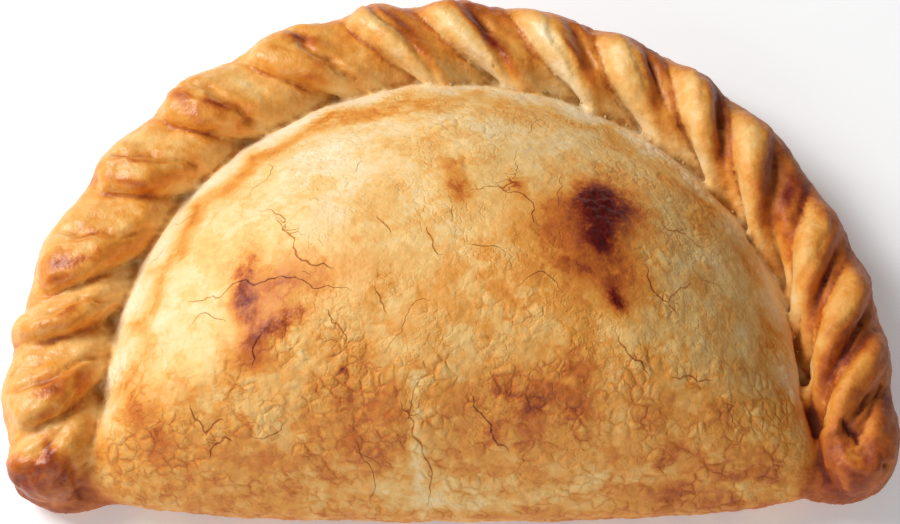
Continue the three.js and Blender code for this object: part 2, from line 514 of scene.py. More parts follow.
        # The left section's first two points lie under its lip.
        left = np.interp(across, *np.array(self.left_section[2:]).T)
        right = np.interp(on_right, *np.array(self.right_section).T)
        lipped = mix(left, right, round_share)
        height = mix(self.wave(across), lipped, self.sharpness(angle))
        height = mix(height, self.toe(number, share), self.toe_share(number, angle))
        height *= self.rises[number] * self.taper(number, angle)
        return FoldPlace(number, mix(across, on_right, round_share), angle, height)


@dataclass
class CrimpedRope:
    """The open edge, rolled up along the rim and pinched into folds."""

    rim: Rim
    folds: PinchedFolds
    radius: float = 6.1 * MM
    outer_fullness: float = 2.4 * MM
    outer_cosines: Pair = (0.2, 1.0)
    inner_trim: Pair = (1.0 * MM, 2.2 * MM)
    trim_shares: Pair = (0.3, 0.7)
    inner_cosines: Pair = (-0.2, -0.9)
    upper_sines: Pair = (-0.4, 0.1)
    end_fullness: float = 2.2 * MM
    left_fade: Pair = (-6.5 * MM, 1 * MM)
    right_fade: Pair = (1 * MM, -12 * MM)
    ends: Pair = (7.6 * MM, 6.4 * MM)
    girth: Pair = (1.06, 0.97)
    bluntness: float = 24
    columns: int = 44
    sides: int = 120

    def roll_radius(self, run: Array, angle: Array) -> Array:
        """Shape the rolled edge under its folds, fuller outwards and rounded off at both ends.

        Args:
            run: Distances along the rim.
            angle: Angles round it.

        Returns:
            The roll's radius.
        """
        share = np.clip(run / self.rim.length, 0, 1)
        full = self.radius + self.outer_fullness * smooth_step(*self.outer_cosines, np.cos(angle))
        trim = mix(*self.inner_trim, smooth_step(*self.trim_shares, share))
        trim *= smooth_step(*self.inner_cosines, np.cos(angle))
        full -= trim * smooth_step(*self.upper_sines, np.sin(angle))
        full += self.end_fullness * (1 - self.fold_fade(run))
        return full * mix(*self.girth, share) * self.bluntness_at(run)

    def bluntness_at(self, run: Array) -> Array:
        """Give 1 along the rope, falling to 0 at its ends."""
        ends = np.clip((run + self.ends[0]) / (self.rim.length + sum(self.ends)), 0, 1)
        return np.sqrt(np.clip(1 - np.abs(2 * ends - 1) ** self.bluntness, 0, 1))

    def fold_fade(self, run: Array) -> Array:
        """Give 1 along the rope, falling to 0 where its ends are tucked in without folds."""
        return smooth_step(*self.left_fade, run) * smooth_step(*self.right_fade, run - self.rim.length)

    def build(self) -> Piece:
        """Roll a flat sheet of dough into the pinched rope.

        Returns:
            The rope as a closed mesh.
        """
        folds = self.folds
        count = len(folds.runs) - 1
        columns = count * self.columns
        bpy.ops.mesh.primitive_grid_add(x_subdivisions=columns, y_subdivisions=self.sides, size=1)
        rope = newest("crimped_rope")
        sheet = read_points(rope)
        spot = np.clip((sheet[:, 0] + 0.5) * count, 0, count - FOLD_GAP)
        number = spot.astype(int)
        angle = (sheet[:, 1] + 0.5) * 2 * math.pi - math.pi / 2
        shift, height = folds.section_at(number, spot - number, angle)
        near, far = folds.lip(number, angle), folds.lip(number + 1, angle)
        run = near + (far - near) * shift
        swell = height * folds.rises[number] * folds.taper(number, angle) - folds.crease(number, shift, angle)
        run = np.clip(run, -self.ends[0], self.rim.length + self.ends[1])
        girth = self.roll_radius(run, angle) + swell * self.fold_fade(run) * self.bluntness_at(run)
        centre, outward = self.rim.place(run)
        flat = centre + outward * (girth * np.cos(angle))[:, None]
        up = self.rim.height + girth * np.sin(angle)
        write_points(rope, np.column_stack([flat, up]))
        merge_doubles(rope)
        return rope


@dataclass
class FilledBody:
    """The pillow over the filling, highest behind the half circle's centre."""

    rim: Rim
    dice: Dice
    overlap: float = 4.2 * MM
    front_reach: float = 18.6 * MM
    front_bow: float = 2.4 * MM
    front_half_width: float = 73 * MM
    front_squareness: float = 5
    crown_squareness: float = 2
    squareness_fade: float = 3
    crown_height: float = 40 * MM
    crown_setback: float = 15 * MM
    edge_height: float = 9 * MM
    fullness: float = 2.6
    back_fullness: float = 2.1
    back_sines: Pair = (0.2, 0.9)
    base_inset: float = 0.09
    groove_inset: Pair = (7.6 * MM, 6.8 * MM)
    groove_width: float = 1.8 * MM
    groove_depth: Pair = (0.9 * MM, 1.5 * MM)
    groove_end: float = 0.3
    groove_right: Pair = (-10 * MM, 35 * MM)
    lump_count: int = 30
    lump_height: float = 0.8 * MM
    lump_radius: float = 8 * MM
    lump_spread: Pair = (56 * MM, 42 * MM)
    segments: int = 220
    rings: int = 110
    halvings: int = 24

    def reach(self, angle: Array, corner: Array) -> Array:
        """Find how far the outline lies from the crown.

        Args:
            angle: Plan angles round the crown.
            corner: Exponents of the front corners, 2 for an ellipse and more for squarer ones.

        Returns:
            The distance to the outline in each direction.
        """
        half_width = self.rim.radius - self.overlap
        near = np.zeros(angle.shape)
        far = np.full(angle.shape, 2 * half_width)
        for _ in range(self.halvings):
            half = (near + far) / 2
            x = np.abs(half * np.cos(angle))
            y = self.crown_setback + half * np.sin(angle)
            forward = np.clip(-y, 0, None)
            widening = smooth_step(0, self.front_reach, forward)
            side = x / mix(half_width, self.front_half_width, widening)
            front = forward / (self.front_reach + self.front_bow * np.clip(1 - side**2, 0, None))
            is_out_front = side**corner + front**corner > 1
            is_out = np.where(y > 0, np.hypot(x, y) > half_width, is_out_front)
            far = np.where(is_out, half, far)
            near = np.where(is_out, near, half)
        return far

    def lumps(self, x: Array, y: Array) -> Array:
        """Lay broad lumps and hollows over the filling.

        Args:
            x: Plan places across, from the half circle's middle.
            y: Plan places in depth.

        Returns:
            The crust's rise there.
        """
        rise = np.zeros(x.shape)
        for _ in range(self.lump_count):
            lump_x = self.lump_spread[0] * self.dice.roll()
            lump_y = self.crown_setback + self.lump_spread[1] * self.dice.roll()
            height = self.lump_height * self.dice.roll()
            rise += height * bell(np.hypot(x - lump_x, y - lump_y), 0, self.lump_radius)
        return rise

    def groove(self, x: Array, y: Array) -> Array:
        """Press a groove into the pillow beside the rope.

        Args:
            x: Plan places across, from the half circle's middle.
            y: Plan places in depth.

        Returns:
            The groove's depth there.
        """
        inset = self.rim.radius - np.where(y > 0, np.hypot(x, y), np.abs(x))
        along = smooth_step(-self.front_reach, -self.groove_end * self.front_reach, y)
        right = smooth_step(*self.groove_right, x)
        press = bell(inset, mix(*self.groove_inset, right), self.groove_width)
        return mix(*self.groove_depth, right) * along * press

    def build(self) -> Piece:
        """Draw a ball of dough out into the half-moon pillow.

        Returns:
            The pillow as a closed mesh with a flat underside.
        """
        bpy.ops.mesh.primitive_uv_sphere_add(segments=self.segments, ring_count=self.rings, radius=1)
        body = newest("filled_body")
        ball = read_points(body)
        share = np.hypot(ball[:, 0], ball[:, 1])
        angle = np.arctan2(ball[:, 1], ball[:, 0])
        is_top = ball[:, 2] >= 0
        # Half of the ball's lower side goes to the flat underside, the other half to the rounded edge.
        rise = np.clip(np.arctan2(share, -ball[:, 2]) / (math.pi / 2), 0, 1)
        under = np.clip(2 * rise - 1, 0, 1) * math.pi / 2
        under_share = (1 - self.base_inset * (1 - np.sin(under))) * np.clip(2 * rise, 0, 1)
        share = np.where(is_top, share, under_share)
        fade = np.clip(share, 0, 1) ** self.squareness_fade
        reach = share * self.reach(angle, mix(self.crown_squareness, self.front_squareness, fade))
        x = reach * np.cos(angle)
        y = self.crown_setback + reach * np.sin(angle)
        fullness = mix(self.fullness, self.back_fullness, smooth_step(*self.back_sines, np.sin(angle)))
        swell = np.where(is_top, 1 - share**fullness, 0)
        level = self.edge_height * np.where(is_top, 1, 1 - np.cos(under))
        z = level + (self.crown_height - self.edge_height + self.lumps(x, y)) * swell
        z -= np.where(is_top, self.groove(x, y), 0)
        write_points(body, np.column_stack([x + self.rim.middle[0], y + self.rim.middle[1], z]))
        merge_doubles(body)
        return body


@dataclass
class FrontCorners:
    """The heels of dough under the two ends of the rope."""

    rim: Rim
    sizes: tuple[Triple, ...] = (
        (11 * MM, 7.6 * MM, 5.2 * MM),
        (11 * MM, 9.4 * MM, 6.8 * MM),
    )
    setbacks: Pair = (-0.6 * MM, 2.4 * MM)
    inset: float = 1.8 * MM
    cover_fade: Pair = (1.5, 1.0)
    segments: int = 48
    rings: int = 32

    def heels(self) -> list[tuple[Array, Array]]:
        """Set out the left and the right heel.

        Returns:
            The middle and the half sizes of each.
        """
        found = []
        for side, size, setback in zip((-1, 1), self.sizes, self.setbacks):
            x = self.rim.middle[0] + side * (self.rim.radius - self.inset)
            y = self.rim.middle[1] - self.rim.leg + setback
            found.append((np.array([x, y, size[2]]), np.array(size)))
        return found

    def cover(self, points: Array) -> Array:
        """Tell the heels from the rest.

        Args:
            points: Rows of x, y, z.

        Returns:
            1 on the heels, falling to 0 away from them.
        """
        inside = np.zeros(len(points))
        for place, size in self.heels():
            away = np.linalg.norm((points - place) / size, axis=1)
            inside = np.maximum(inside, smooth_step(*self.cover_fade, away))
        return inside

    def build(self) -> list[Piece]:
        """Model both heels.

        Returns:
            Closed meshes that reach into the rope and the body.
        """
        pieces = []
        ball = {"segments": self.segments, "ring_count": self.rings, "radius": 1}
        for place, size in self.heels():
            bpy.ops.mesh.primitive_uv_sphere_add(**ball, location=place)
            pieces.append(newest("heel"))
            bpy.ops.object.mode_set(mode="EDIT")
            bpy.ops.mesh.select_all(action="SELECT")
            bpy.ops.transform.resize(value=size, center_override=place)
            bpy.ops.object.mode_set(mode="OBJECT")
        return pieces


# Baking


@dataclass(frozen=True)
class Mark:
    """A browned, burnt, pale or dented place on the crust, in plan.

    Its strength says how far it browns, below 0 where it is pale, or how deep it is.
    """

    name: str
    x: float
    y: float
    half_length: float
    half_width: float
    turn: float = 0.0
    strength: float = 1.0
    steepness: float = 1.0

    def spread(self, x: Array, y: Array) -> Array:
        """Lay the mark on the crust.

        Args:
            x: Plan places across.
            y: Plan places in depth.

        Returns:
            Its strength at its middle, fading to 0 outside.
        """
        cosine, sine = math.cos(self.turn), math.sin(self.turn)
        along = ((x - self.x) * cosine + (y - self.y) * sine) / self.half_length
        across = ((y - self.y) * cosine - (x - self.x) * sine) / self.half_width
        return self.strength * np.exp(-((along**2 + across**2) ** self.steepness))


def marks(*rows: tuple[Any, ...]) -> tuple[Mark, ...]:
    """Make marks from rows that give the place and the half sizes in millimetres."""
    return tuple(Mark(name, *(size * MM for size in rest[:4]), *rest[4:]) for name, *rest in rows)


BURNS = marks(
    ("right blister", 25.6, -1.4, 4.4, 4.6),
    ("right blister, foot", 25.4, -8.4, 2.2, 2.6, 0.0, 0.8),
    ("left burn, upper flank", -35.2, -12.2, 4.6, 2.0, 1.17, 0.44, 1.4),
    ("left burn, lower flank", -35.2, -20.0, 5.6, 2.3, -1.3, 0.42, 1.4),
    ("left burn, arm", -28.6, -23.5, 4.6, 1.8, 0.38, 0.46, 1.4),
    ("right spot", 27.4, -19.8, 1.2, 2.2, 0.3, 0.85),
    ("crown spot", 10.8, 1.2, 1.3, 1.2, 0.0, 0.4),
    ("front pimple", -18.3, -31.3, 0.9, 0.7, 0.0, 0.5),
)

PATCHES = marks(
    ("round the right blister", 26, -3, 8.5, 7.5, 0.3, 0.3),
    ("left of the right blister", 14, -6, 6, 5.5, 0.3, 0.14),
    ("centre", 4, -19, 22, 8, 0.0, 0.1),
    ("inside the left burn", -31.2, -19.2, 6.0, 6.6, 0.0, 0.24),
    ("below the left burn", -33.8, -27.6, 3.8, 3.4, 0.0, 0.24),
    ("crown", 0.8, 2.0, 2.4, 5.6, 0.25, 0.28),
    ("pale back", 4, 17, 20, 5, 0.0, -0.06),
    ("pale back, left", -23, 14, 12, 6, 0.4, -0.15),
    ("left of the centre", -19, -14.5, 8, 5, 0.0, 0.11),
    ("pale, beside the left burn", -24, -10.5, 6, 4, 0.0, -0.1),
    ("pale front", 0.0, -47, 14, 3, 0.0, -0.1),
    ("brown front, right", 43, -45.5, 16, 3.5, 0.0, 0.14),
    ("right of the crown", 22.5, -13.5, 7.5, 5.5, -0.3, 0.32),
    ("front left", -14.7, -35, 9, 6, 0.0, 0.12),
    ("front right", 15.5, -34.4, 11, 6.5, 0.0, 0.15),
    ("left flank", -53, -34.6, 2.6, 8, 0.45, 0.14),
    ("pale crown, left", -25, 2, 13, 9, 0.5, -0.11),
    ("pale flank, left", -48, -14, 7, 14, -0.3, -0.1),
    ("right", 45, -16, 11, 15, 0.2, 0.03),
    ("below the right blister", 30, -17.5, 6.5, 6, 0.2, 0.16),
    ("low left", -43, -38, 8, 5, 0.0, -0.07),
)

# Browned places on the rope, in plan; the marks in crevices and hollows, the shade mark and the mark on the
# right's outer side are painted shade.
ROPE_MARKS = marks(
    ("left end, spot", -70.2, -40.1, 2.6, 1.3, -1.22, 0.34),
    ("left end, foot", -71.9, -43.5, 1.9, 0.9, -0.10, 0.12),
    ("second fold", -69.0, -29.9, 1.8, 1.3, -0.70, 0.08),
    ("second fold, edge", -70.4, -34.1, 4.3, 0.7, 0.44, 0.14),
    ("third fold, edge", -70.8, -18.4, 3.7, 0.7, 0.03, 0.16),
    ("third fold, crease", -66.0, -13.9, 3.7, 0.5, 0.68, 0.12),
    ("fourth fold", -66.4, 1.3, 2.5, 1.3, 0.17, 0.14),
    ("fourth fold, crease", -64.7, -0.4, 3.6, 0.5, 0.41, 0.14),
    ("fourth fold, edge", -67.7, -6.1, 4.2, 0.8, 0.20, 0.14),
    ("fourth fold, outer edge", -70.2, -9.4, 2.7, 0.7, 0.23, 0.12),
    ("fifth fold, edge", -58.9, 9.5, 5.7, 0.7, -0.26, 0.18),
    ("fifth fold, crease", -54.9, 13.4, 7.7, 0.5, 0.08, 0.12),
    ("sixth fold, crease", -44.5, 25.1, 5.7, 0.6, -0.29, 0.16),
    ("seventh fold, blotch", -27.7, 39.3, 3.6, 1.3, -0.37, 0.26),
    ("seventh fold, crease", -30.9, 36.2, 5.3, 0.6, -0.34, 0.14),
    ("eighth fold", -9.5, 42.7, 4.5, 0.9, -0.77, 0.2),
    ("eighth fold, toe", -5.8, 36.9, 2.4, 1.1, -0.47, 0.1),
    ("ninth fold", 5.4, 40.7, 5.6, 0.8, -0.85, 0.26),
    ("tenth fold", 22.2, 37.1, 5.6, 0.8, -1.04, 0.26),
    ("twelfth fold, crevice", 50.0, 24.4, 4.4, 0.7, -1.39, 0.14),
    ("thirteenth fold, crevice", 57.2, 12.7, 3.8, 0.7, 1.23, 0.14),
    ("fourteenth fold, crevice", 63.1, 5.7, 4.5, 0.8, 1.17, 0.16),
    ("fifteenth fold, crevice", 66.6, -8.2, 4.2, 0.7, 1.14, 0.12),
    ("sixteenth fold, shade", 72.5, -21.2, 4.1, 0.7, 0.97, 0.16),
    ("outer side at the right", 76.2, -31.0, 3.4, 1.1, 1.33, 0.14),
    ("right curl, upper hole", 68.6, -35.9, 1.2, 0.6, -1.33, 0.16),
    ("right curl, lower hole", 70.4, -37.9, 1.4, 0.6, -1.37, 0.18),
    ("right curl, hook", 68.3, -42.8, 2.7, 0.6, -0.89, 0.14),
    ("right heel, edge", 69.2, -45.3, 3.3, 1.1, -0.06, 0.1),
    ("eleventh fold", 44.6, 23.9, 3.3, 1.3, -1.38, 0.06),
    ("twelfth fold, pale", 52.8, 14.8, 3.2, 1.1, -1.44, -0.06),
    ("thirteenth fold, hollow", 61.0, 8.1, 3.6, 1.1, 1.21, 0.2),
    ("pale hollow at the top", 12.1, 39.0, 3.7, 1.3, -1.11, -0.08),
    ("right curl", 69.7, -41.1, 4.6, 2.6, -1.14, 0.1),
    ("pale toe at the right", 64.0, -26.8, 2.2, 0.9, -1.46, -0.14),
    ("pale toe, next", 66.6, -29.0, 1.3, 0.7, 0.88, -0.1),
    ("pale back of the fold at the right", 68.1, -18.1, 3.6, 0.9, 0.96, -0.1),
    ("pale fold at the top left", -37.9, 29.9, 3.0, 1.3, -0.53, -0.1),
    ("pale fold, lower left", -70.5, -35.9, 1.9, 0.6, 0.21, -0.1),
)

# The pale seams down the front, as lines in millimetres
PALE_SEAMS = (
    ((-13.0, -47.2), (-4.8, -48.4), (7.0, -49.0), (19.1, -46.7), (29.9, -43.9), (44.1, -45.7), (58.2, -46.4)),
    ((-6.3, -33.0), (-6.4, -41.0), (-4.8, -49.0)),
)

DENTS = (
    Mark("right curl, hollow", 70.2 * MM, -38.8 * MM, 2.9 * MM, 3.4 * MM, -0.2, 1.5 * MM, 2.0),
    Mark("right heel, side hole", 75.2 * MM, -42.6 * MM, 1.2 * MM, 0.6 * MM, 0.5, 0.7 * MM),
)


@dataclass(frozen=True)
class Crease:
    """A crease pressed into the dough, in plan, or a lip raised on it where its depth is below 0.

    Its line is in millimetres.
    """

    name: str
    line: tuple[Pair, ...]
    half_width: float
    depth: float
    end_gap: float = 0.02
    end_rise: float = 2.5

    def press(self, points: Array) -> Array:
        """Press the crease into the dough.

        Args:
            points: Rows of x, y.

        Returns:
            Its depth along its line, fading to 0 beside it and towards its ends.
        """
        away, _, share = line_gap(points, round_off(np.array(self.line) * MM))
        inside = np.clip(share, self.end_gap, 1 - self.end_gap)
        ends = np.clip(np.sin(math.pi * inside) * self.end_rise, 0, 1)
        return self.depth * (bell(away, 0, self.half_width) * ends)


CREASES = (
    Crease("left end", ((-68.8, -36.4), (-69.6, -39.2), (-71.4, -42.2)), 1.2 * MM, 0.35 * MM),
    Crease("left heel, outer", ((-70.6, -43.6), (-72.8, -45.2), (-76.0, -45.4)), 0.8 * MM, 0.35 * MM),
    Crease("left heel, inner", ((-66.6, -41.4), (-65.4, -44.0), (-65.6, -46.6)), 0.8 * MM, 0.4 * MM),
    Crease(
        "right curl, lip",
        ((65.8, -35.5), (65.2, -38.5), (66.2, -41.2), (68.6, -43.0), (71.8, -43.4), (74.6, -41.8)),
        1.4 * MM,
        -1.2 * MM,
    ),
    Crease(
        "right curl, hook",
        ((66.3, -37.0), (66.7, -40.8), (69.0, -43.5), (71.6, -44.3)),
        0.6 * MM,
        0.6 * MM,
    ),
    Crease("right curl, upper tear", ((67.7, -34.8), (68.6, -36.0), (69.2, -37.3)), 0.55 * MM, 0.8 * MM),
    Crease("right curl, lower tear", ((69.8, -36.6), (70.2, -38.0), (71.0, -39.3)), 0.6 * MM, 1.0 * MM),
    Crease("right curl, last crevice", ((70.6, -37.4), (72.8, -33.4), (75.9, -27.6)), 0.6 * MM, 0.7 * MM),
    Crease("right slit", ((62.0, -14.0), (62.2, -21.0), (63.6, -31.0), (64.4, -37.0)), 0.8 * MM, 1.0 * MM),
    Crease("right curl, inner edge", ((64.2, -36.0), (64.6, -41.0), (65.8, -45.0)), 0.9 * MM, 0.4 * MM),
)


def round_off(line: Array, rounds: int = 3, share: float = 0.25) -> Array:
    """Round a line's corners by cutting off a share of each stretch, again and again."""
    for _ in range(rounds):
        cut = np.empty((2 * len(line) - 2, 2))
        cut[0::2] = (1 - share) * line[:-1] + share * line[1:]
        cut[1::2] = share * line[:-1] + (1 - share) * line[1:]
        line = np.vstack([line[:1], cut, line[-1:]])
    return line


def line_gap(points: Array, line: Array) -> tuple[Array, Array, Array]:
    """Measure points against a line in plan.

    Args:
        points: Rows of x, y.
        line: The line's points in order.

    Returns:
        The distance from the line, the side it is on, -1 or 1, and the share of the line's steps gone by.
    """
    step = line[1:] - line[:-1]
    apart = points[:, None] - line[None, :-1]
    along = np.einsum("ijk,jk->ij", apart, step) / np.einsum("jk,jk->j", step, step)
    foot = np.clip(along, 0, 1)
    away = np.linalg.norm(apart - foot[..., None] * step, axis=2)
    best = away.argmin(axis=1)
    row = np.arange(len(points))
    cross = step[best, 0] * apart[row, best, 1] - step[best, 1] * apart[row, best, 0]
    return away[row, best], np.sign(cross), (best + foot[row, best]) / len(step)


def total(marks: tuple[Mark, ...], x: Array, y: Array) -> Array:
    """Add up what a set of marks does at points in plan."""
    return sum(mark.spread(x, y) for mark in marks)


def waver(points: Array, size: float, octaves: int = 2) -> Array:
    """Give soft noise from about -1 to 1 at points, its bumps about so large."""
    fading, finer = 1.0, 2.0
    return np.array([noise.fractal(Vector(p), fading, finer, octaves) for p in points / size])


def cells(points: Array, size: float) -> tuple[Array, Array]:
    """Split space into uneven cells about so large.

    Args:
        points: Rows of x, y, z.
        size: The cells' spacing.

    Returns:
        The distance to the nearest cell's middle, and how much further the next one is, in cells.
    """
    found = np.array([noise.voronoi(Vector(p))[0][:2] for p in points / size])
    return found[:, 0], found[:, 1] - found[:, 0]


@dataclass
class CrackLines:
    """Thin wandering cracks in the dry crust, in plan, the main ones as lines in millimetres."""

    dice: Dice
    main: tuple[tuple[Pair, ...], ...] = (
        ((-6.3, -33.8), (-6.6, -38.4), (-4.8, -42.8), (-4.6, -49.0)),
        ((3.0, -34.7), (5.0, -37.7), (7.4, -40.9), (9.8, -42.7)),
        ((2.9, 0.0), (9.0, -0.1), (10.1, 2.1), (11.4, 4.4)),
        ((9.0, -0.1), (12.3, -0.8), (14.0, -3.4), (14.9, -7.1)),
        ((-4.2, -7.4), (-3.4, -9.6), (-2.0, -12.8)),
        ((-12.9, -5.3), (-11.3, -7.0), (-10.3, -8.8)),
        ((-34.1, 0.0), (-27.1, -8.2), (-24.0, -13.9), (-19.8, -14.9)),
        ((-13.0, -19.0), (-12.1, -20.9), (-11.1, -22.8)),
        ((-20.7, -21.9), (-20.3, -24.0), (-18.4, -25.5), (-17.8, -27.3)),
        ((-45.9, -16.3), (-38.9, -16.4), (-30.9, -15.5), (-24.0, -16.9)),
        ((-31.9, -24.9), (-33.8, -27.8), (-33.9, -30.6)),
        ((32.8, -12.2), (33.0, -15.0), (36.7, -18.9), (38.4, -21.0)),
        ((36.7, -18.9), (39.0, -15.9), (41.1, -14.0)),
        ((36.4, -2.1), (37.6, -4.3), (41.1, -3.9), (44.5, -6.0)),
        ((28.1, -25.3), (29.4, -28.5), (33.3, -31.9)),
        ((37.4, -31.6), (39.7, -31.1), (44.3, -31.4)),
        ((-41.7, -42.5), (-40.7, -40.9), (-37.5, -40.5)),
        ((-44.7, -34.9), (-44.1, -37.0), (-42.1, -39.6), (-40.2, -37.8), (-38.8, -37.6)),
    )
    main_width: float = 0.14 * MM
    count: int = 22
    width: float = 0.07 * MM
    length: Pair = (3 * MM, 12 * MM)
    spread: Pair = (58 * MM, 36 * MM)
    middle: Pair = (0.0, -16 * MM)
    bend: float = 0.7
    reach: float = 1.3 * MM
    roughness: float = 0.22

    def wander(self, line: Array, rounds: int = 4) -> Array:
        """Break a line up by shifting the middle of each stretch sideways, again and again."""
        for _ in range(rounds):
            step = line[1:] - line[:-1]
            shift = np.array([self.roughness * self.dice.roll() for _ in step])[:, None]
            middle = (line[1:] + line[:-1]) / 2 + shift * step[:, ::-1] * np.array([-1, 1])
            woven = np.empty((len(line) + len(middle), 2))
            woven[0::2], woven[1::2] = line, middle
            line = woven
        return line

    def paths(self) -> list[tuple[Array, float]]:
        """Set out every crack.

        Returns:
            The points of each crack's line, and its half width.
        """
        found = [(self.wander(np.array(line) * MM), self.main_width) for line in self.main]
        for _ in range(self.count):
            start = np.array([m + s * self.dice.roll() for m, s in zip(self.middle, self.spread)])
            heading = math.pi * self.dice.roll()
            length = mix(*self.length, abs(self.dice.roll()))
            bend = self.bend * self.dice.roll()
            line = [start]
            for turn in (-bend, bend):
                direction = np.array([math.cos(heading + turn), math.sin(heading + turn)])
                line.append(line[-1] + length / 2 * direction)
            found.append((self.wander(np.array(line)), self.width))
        return found

    def measure(self, x: Array, y: Array) -> tuple[Array, Array]:
        """Measure points against the nearest crack.

        Args:
            x: Plan places across.
            y: Plan places in depth.

        Returns:
            The distance from the crack, of one sign on each side, and the crack's half width, 0 past its
            ends.
        """
        points = np.column_stack([x, y])
        nearest = np.full(len(points), self.reach)
        signed = np.zeros(len(points))
        width = np.zeros(len(points))
        for line, half_width in self.paths():
            low, high = line.min(axis=0) - self.reach, line.max(axis=0) + self.reach
            close = np.flatnonzero(np.all((points > low) & (points < high), axis=1))
            if not len(close):
                continue
            distance, side, share = line_gap(points[close], line)
            taken = distance < nearest[close]
            spot = close[taken]
            nearest[spot] = distance[taken]
            signed[spot] = (side * distance)[taken]
            width[spot] = (half_width * np.sqrt(np.sin(math.pi * np.clip(share, 0, 1))))[taken]
        return signed, width


@dataclass(frozen=True)
class Skin:
    """What is known about the places on the crust's skin."""

    points: Array
    share: Array
    folds: FoldPlace
    outside: Array
    corner: Array
    rope: Array


@dataclass(frozen=True)
class RopeBrowning:
    """How far the rope browns.

    At the left the crests are browned; at the right, lit faces get painted light and the crevices behind
    painted shade.
    Places are across a fold, and shares along the rim.
    """

    blotch_size: float = 6 * MM
    blotch_edge: Pair = (-0.25, 0.3)
    inner_angles: Pair = (math.radians(125), math.radians(165))
    end_angles: Pair = (math.radians(108), math.radians(152))
    outer_angles: Pair = (math.radians(84), math.radians(40))
    hollow_places: Pair = (0.5, 0.75)
    left_base: float = 0.44
    crest: float = 0.17
    crest_place: Pair = (0.26, 0.2)
    crest_inside: float = 0.2
    outer_share: float = 0.5
    left_hollow: float = -0.03
    left_inside: float = -0.09
    # Painted shadow: a dark line under the lip of each fold at the left.
    lip: float = 0.16
    lip_shadow_width: float = 0.05
    right_base: float = 0.42
    # Painted light: the faces of the right folds that turn to the lamp are painted paler, most of all at the
    # back.
    face: float = -0.1
    painted_light_face_place: Pair = (0.16, 0.14)
    painted_light_at_back: float = 1.1
    painted_light_at_back_share: Pair = (0.53, 0.1)
    flank: float = 0.08
    flank_places: Pair = (0.28, 0.44)
    # Painted shade in the crevice behind each ridge at the right, weaker towards the inner ends.
    crevice: float = 0.14
    painted_crevice_shade_place: Pair = (0.5, 0.07)
    painted_crevice_shade_inside: float = 0.4
    # The outer side of the right folds is browner, partly browning and partly painted shade away from the
    # lamp.
    right_outside_browning_and_shade: float = 0.14
    right_end: float = -0.13
    right_hollow: float = 0.06
    side_shares: Pair = (0.34, 0.52)
    # Painted shade: the far right of the rope and its right front corner lie away from the lamp.
    painted_shade_far_right: float = 0.13
    painted_shade_far_right_shares: Pair = (0.68, 0.95)
    painted_shade_right_corner: float = 0.08
    painted_shade_right_corner_y: Pair = (-14 * MM, -34 * MM)
    most: float = 0.68
    left_heel: float = 0.73
    left_heel_x: Pair = (-50 * MM, -58 * MM)
    left_heel_y: Pair = (-39 * MM, -45 * MM)
    right_heel: float = 0.71
    # Painted shade: how much browner the rope is painted where it lies in hollows.
    hollow: float = 0.12
    mark_swing: float = 0.9
    mark_limits: Pair = (0.3, 1.6)

    def level(self, skin: Skin, deep: Array) -> Array:
        """Brown the rope, with painted light and shade on its folds.

        Args:
            skin: Places on the crust.
            deep: How far they lie in hollows, 0 to 1.

        Returns:
            The level of browning, from 0, pale dough, to 1, burnt.
        """
        x, y, _ = skin.points.T
        at_right = np.where(x > 0, 1, 0)
        blotch = waver(skin.points, self.blotch_size, octaves=3)
        side = smooth_step(*self.side_shares, skin.share)
        level = mix(self._left(skin.folds, blotch), self._right(skin), side)
        # Painted shade: the far right of the rope and its right front corner are painted darker, away from
        # the lamp.
        level += self.painted_shade_far_right * smooth_step(*self.painted_shade_far_right_shares, skin.share)
        level += self.painted_shade_right_corner * smooth_step(*self.painted_shade_right_corner_y, y) * at_right
        left_heel = smooth_step(*self.left_heel_x, x) * smooth_step(*self.left_heel_y, y)
        heel = np.clip(skin.corner * at_right + left_heel, 0, 1)
        level = mix(np.minimum(level, self.most), mix(self.left_heel, self.right_heel, at_right), heel)
        uneven = np.clip(1 + self.mark_swing * blotch, *self.mark_limits)
        # Painted shade: places in hollows are painted browner.
        return level + self.hollow * deep + total(ROPE_MARKS, x, y) * uneven

    def _left(self, folds: FoldPlace, blotch: Array) -> Array:
        """Brown the folds as they are at the left, crests first, with a painted shadow line under each lip.

        Args:
            folds: Places on the folds.
            blotch: Uneven patches there, about -1 to 1.

        Returns:
            The level of browning.
        """
        inside = smooth_step(*self.inner_angles, folds.turn)
        outward = mix(1, self.outer_share, smooth_step(*self.outer_angles, folds.turn))
        crest = bell(folds.across, *self.crest_place) * smooth_step(*self.blotch_edge, blotch)
        level = self.left_base + self.crest * crest * mix(1, self.crest_inside, inside) * outward
        level += self.left_hollow * smooth_step(*self.hollow_places, folds.across) + self.left_inside * inside
        # Painted shadow under the next fold's lip.
        return level + self.lip * bell(folds.across, 1, self.lip_shadow_width) * (1 - inside) * outward

    def _right(self, skin: Skin) -> Array:
        """Brown the folds at the right, with painted light on their lit faces and painted shade in the
        crevices.

        Args:
            skin: Places on the crust.

        Returns:
            The level of browning.
        """
        across, turn = skin.folds.across, skin.folds.turn
        inside = smooth_step(*self.inner_angles, turn)
        outside = smooth_step(*self.outer_angles, turn)
        # Painted light on the faces that turn to the lamp.
        face = bell(across, *self.painted_light_face_place) * (1 - outside)
        face *= 1 + self.painted_light_at_back * bell(skin.share, *self.painted_light_at_back_share)
        # Painted shade in the crevice behind each ridge.
        crevice = bell(across, *self.painted_crevice_shade_place) * mix(1, self.painted_crevice_shade_inside, inside)
        behind = self.flank * smooth_step(*self.flank_places, across)
        behind += self.right_hollow * smooth_step(*self.hollow_places, across)
        level = self.right_base + self.face * face + self.crevice * crevice + behind * (1 - inside)
        # The outer side is browner, partly as painted shade; the inner ends are paler.
        return level + self.right_outside_browning_and_shade * outside + self.right_end * smooth_step(*self.end_angles, turn)


